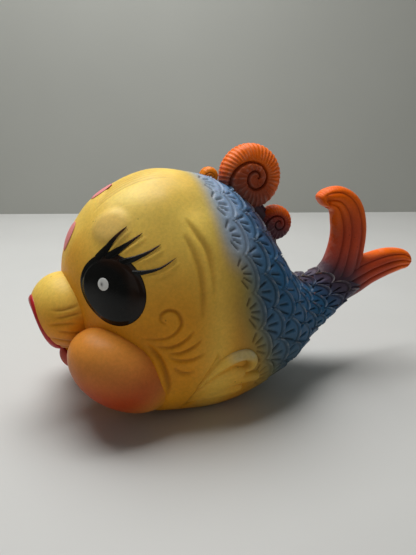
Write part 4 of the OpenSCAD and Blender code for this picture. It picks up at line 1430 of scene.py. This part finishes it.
def add_world(color, strength):
    world = bpy.data.worlds.new("studio")
    world.use_nodes = True
    background = world.node_tree.nodes["Background"]
    background.inputs["Color"].default_value = (*color, 1)
    background.inputs["Strength"].default_value = strength
    bpy.context.scene.world = world


def add_camera(azimuth, elevation, distance):
    """The camera, its angles in degrees from the side view and above the floor."""
    a, e = math.radians(azimuth), math.radians(elevation)
    back = Vector((math.sin(a) * math.cos(e), -math.cos(a) * math.cos(e), math.sin(e)))
    data = bpy.data.cameras.new("camera")
    data.lens = LENS
    camera = bpy.data.objects.new("camera", data)
    camera.location = Vector(VIEW_TARGET) + back * distance
    camera.rotation_euler = (-back).to_track_quat("-Z", "Y").to_euler()
    bpy.context.collection.objects.link(camera)
    bpy.context.scene.camera = camera


class FISH_OT_stage(bpy.types.Operator):
    """Sets the floor, backdrop, lights and camera"""
    bl_idname = "fish.stage"
    bl_label = "Stage"

    def execute(self, context):
        s = context.scene.fish_stage
        grey = matt_ground("floor", s.floor_color, 9, 0.97, 1.02, 0.55)
        floor = flat_ground("floor", grey, FLOOR_AT, Matrix())
        azimuth, lean = math.radians(s.camera_azimuth + WALL_TURN), math.radians(WALL_LEAN)
        turn = Matrix.Rotation(azimuth, 4, "Z") @ Matrix.Rotation(lean, 4, "X")
        dull = matt_ground("backdrop", s.wall_color, 5, 0.96, 1.03, 0.6)
        wall = flat_ground("backdrop", dull, WALL_AT, turn)
        add_world(s.wall_color, s.world_strength)
        add_light("overhead", KEY_AT, KEY_SIZE, s.key_power)
        add_light("beside_camera", FILL_AT, FILL_SIZE, s.fill_power)
        add_camera(s.camera_azimuth, s.camera_elevation, s.camera_distance)
        context.scene.view_settings.view_transform = "Standard"
        return {"FINISHED"}


class FISH_PT_panel(bpy.types.Panel):
    """Lists the fish's sizes, colours and steps"""
    bl_label = "Squeeze Fish"
    bl_idname = "FISH_PT_panel"
    bl_space_type = "VIEW_3D"
    bl_region_type = "UI"
    bl_category = "Fish"

    def draw(self, context):
        for group in (context.scene.fish_sizes, context.scene.fish_paint, context.scene.fish_stage):
            box = self.layout.box()
            for name in group.__annotations__:
                box.prop(group, name)
        for step in STEPS:
            self.layout.operator(step.bl_idname)


STEPS = (
    FISH_OT_skin, FISH_OT_cheeks, FISH_OT_mouth, FISH_OT_crest, FISH_OT_tail, FISH_OT_belly_fins,
    FISH_OT_eyes, FISH_OT_spots, FISH_OT_squeaker, FISH_OT_stage,
)
CLASSES = (FishSizes, FishPaint, FishStage, *STEPS, FISH_PT_panel)


def register():
    for item in CLASSES:
        bpy.utils.register_class(item)
    bpy.types.Scene.fish_sizes = bpy.props.PointerProperty(type=FishSizes)
    bpy.types.Scene.fish_paint = bpy.props.PointerProperty(type=FishPaint)
    bpy.types.Scene.fish_stage = bpy.props.PointerProperty(type=FishStage)


def unregister():
    del bpy.types.Scene.fish_stage
    del bpy.types.Scene.fish_paint
    del bpy.types.Scene.fish_sizes
    for item in reversed(CLASSES):
        bpy.utils.unregister_class(item)


def main():
    register()
    bpy.ops.fish.skin()
    bpy.ops.fish.cheeks()
    bpy.ops.fish.mouth()
    bpy.ops.fish.crest()
    bpy.ops.fish.tail()
    bpy.ops.fish.belly_fins()
    bpy.ops.fish.eyes()
    bpy.ops.fish.spots()
    bpy.ops.fish.squeaker()
    bpy.ops.fish.stage()


if __name__ == "__main__":
    main()
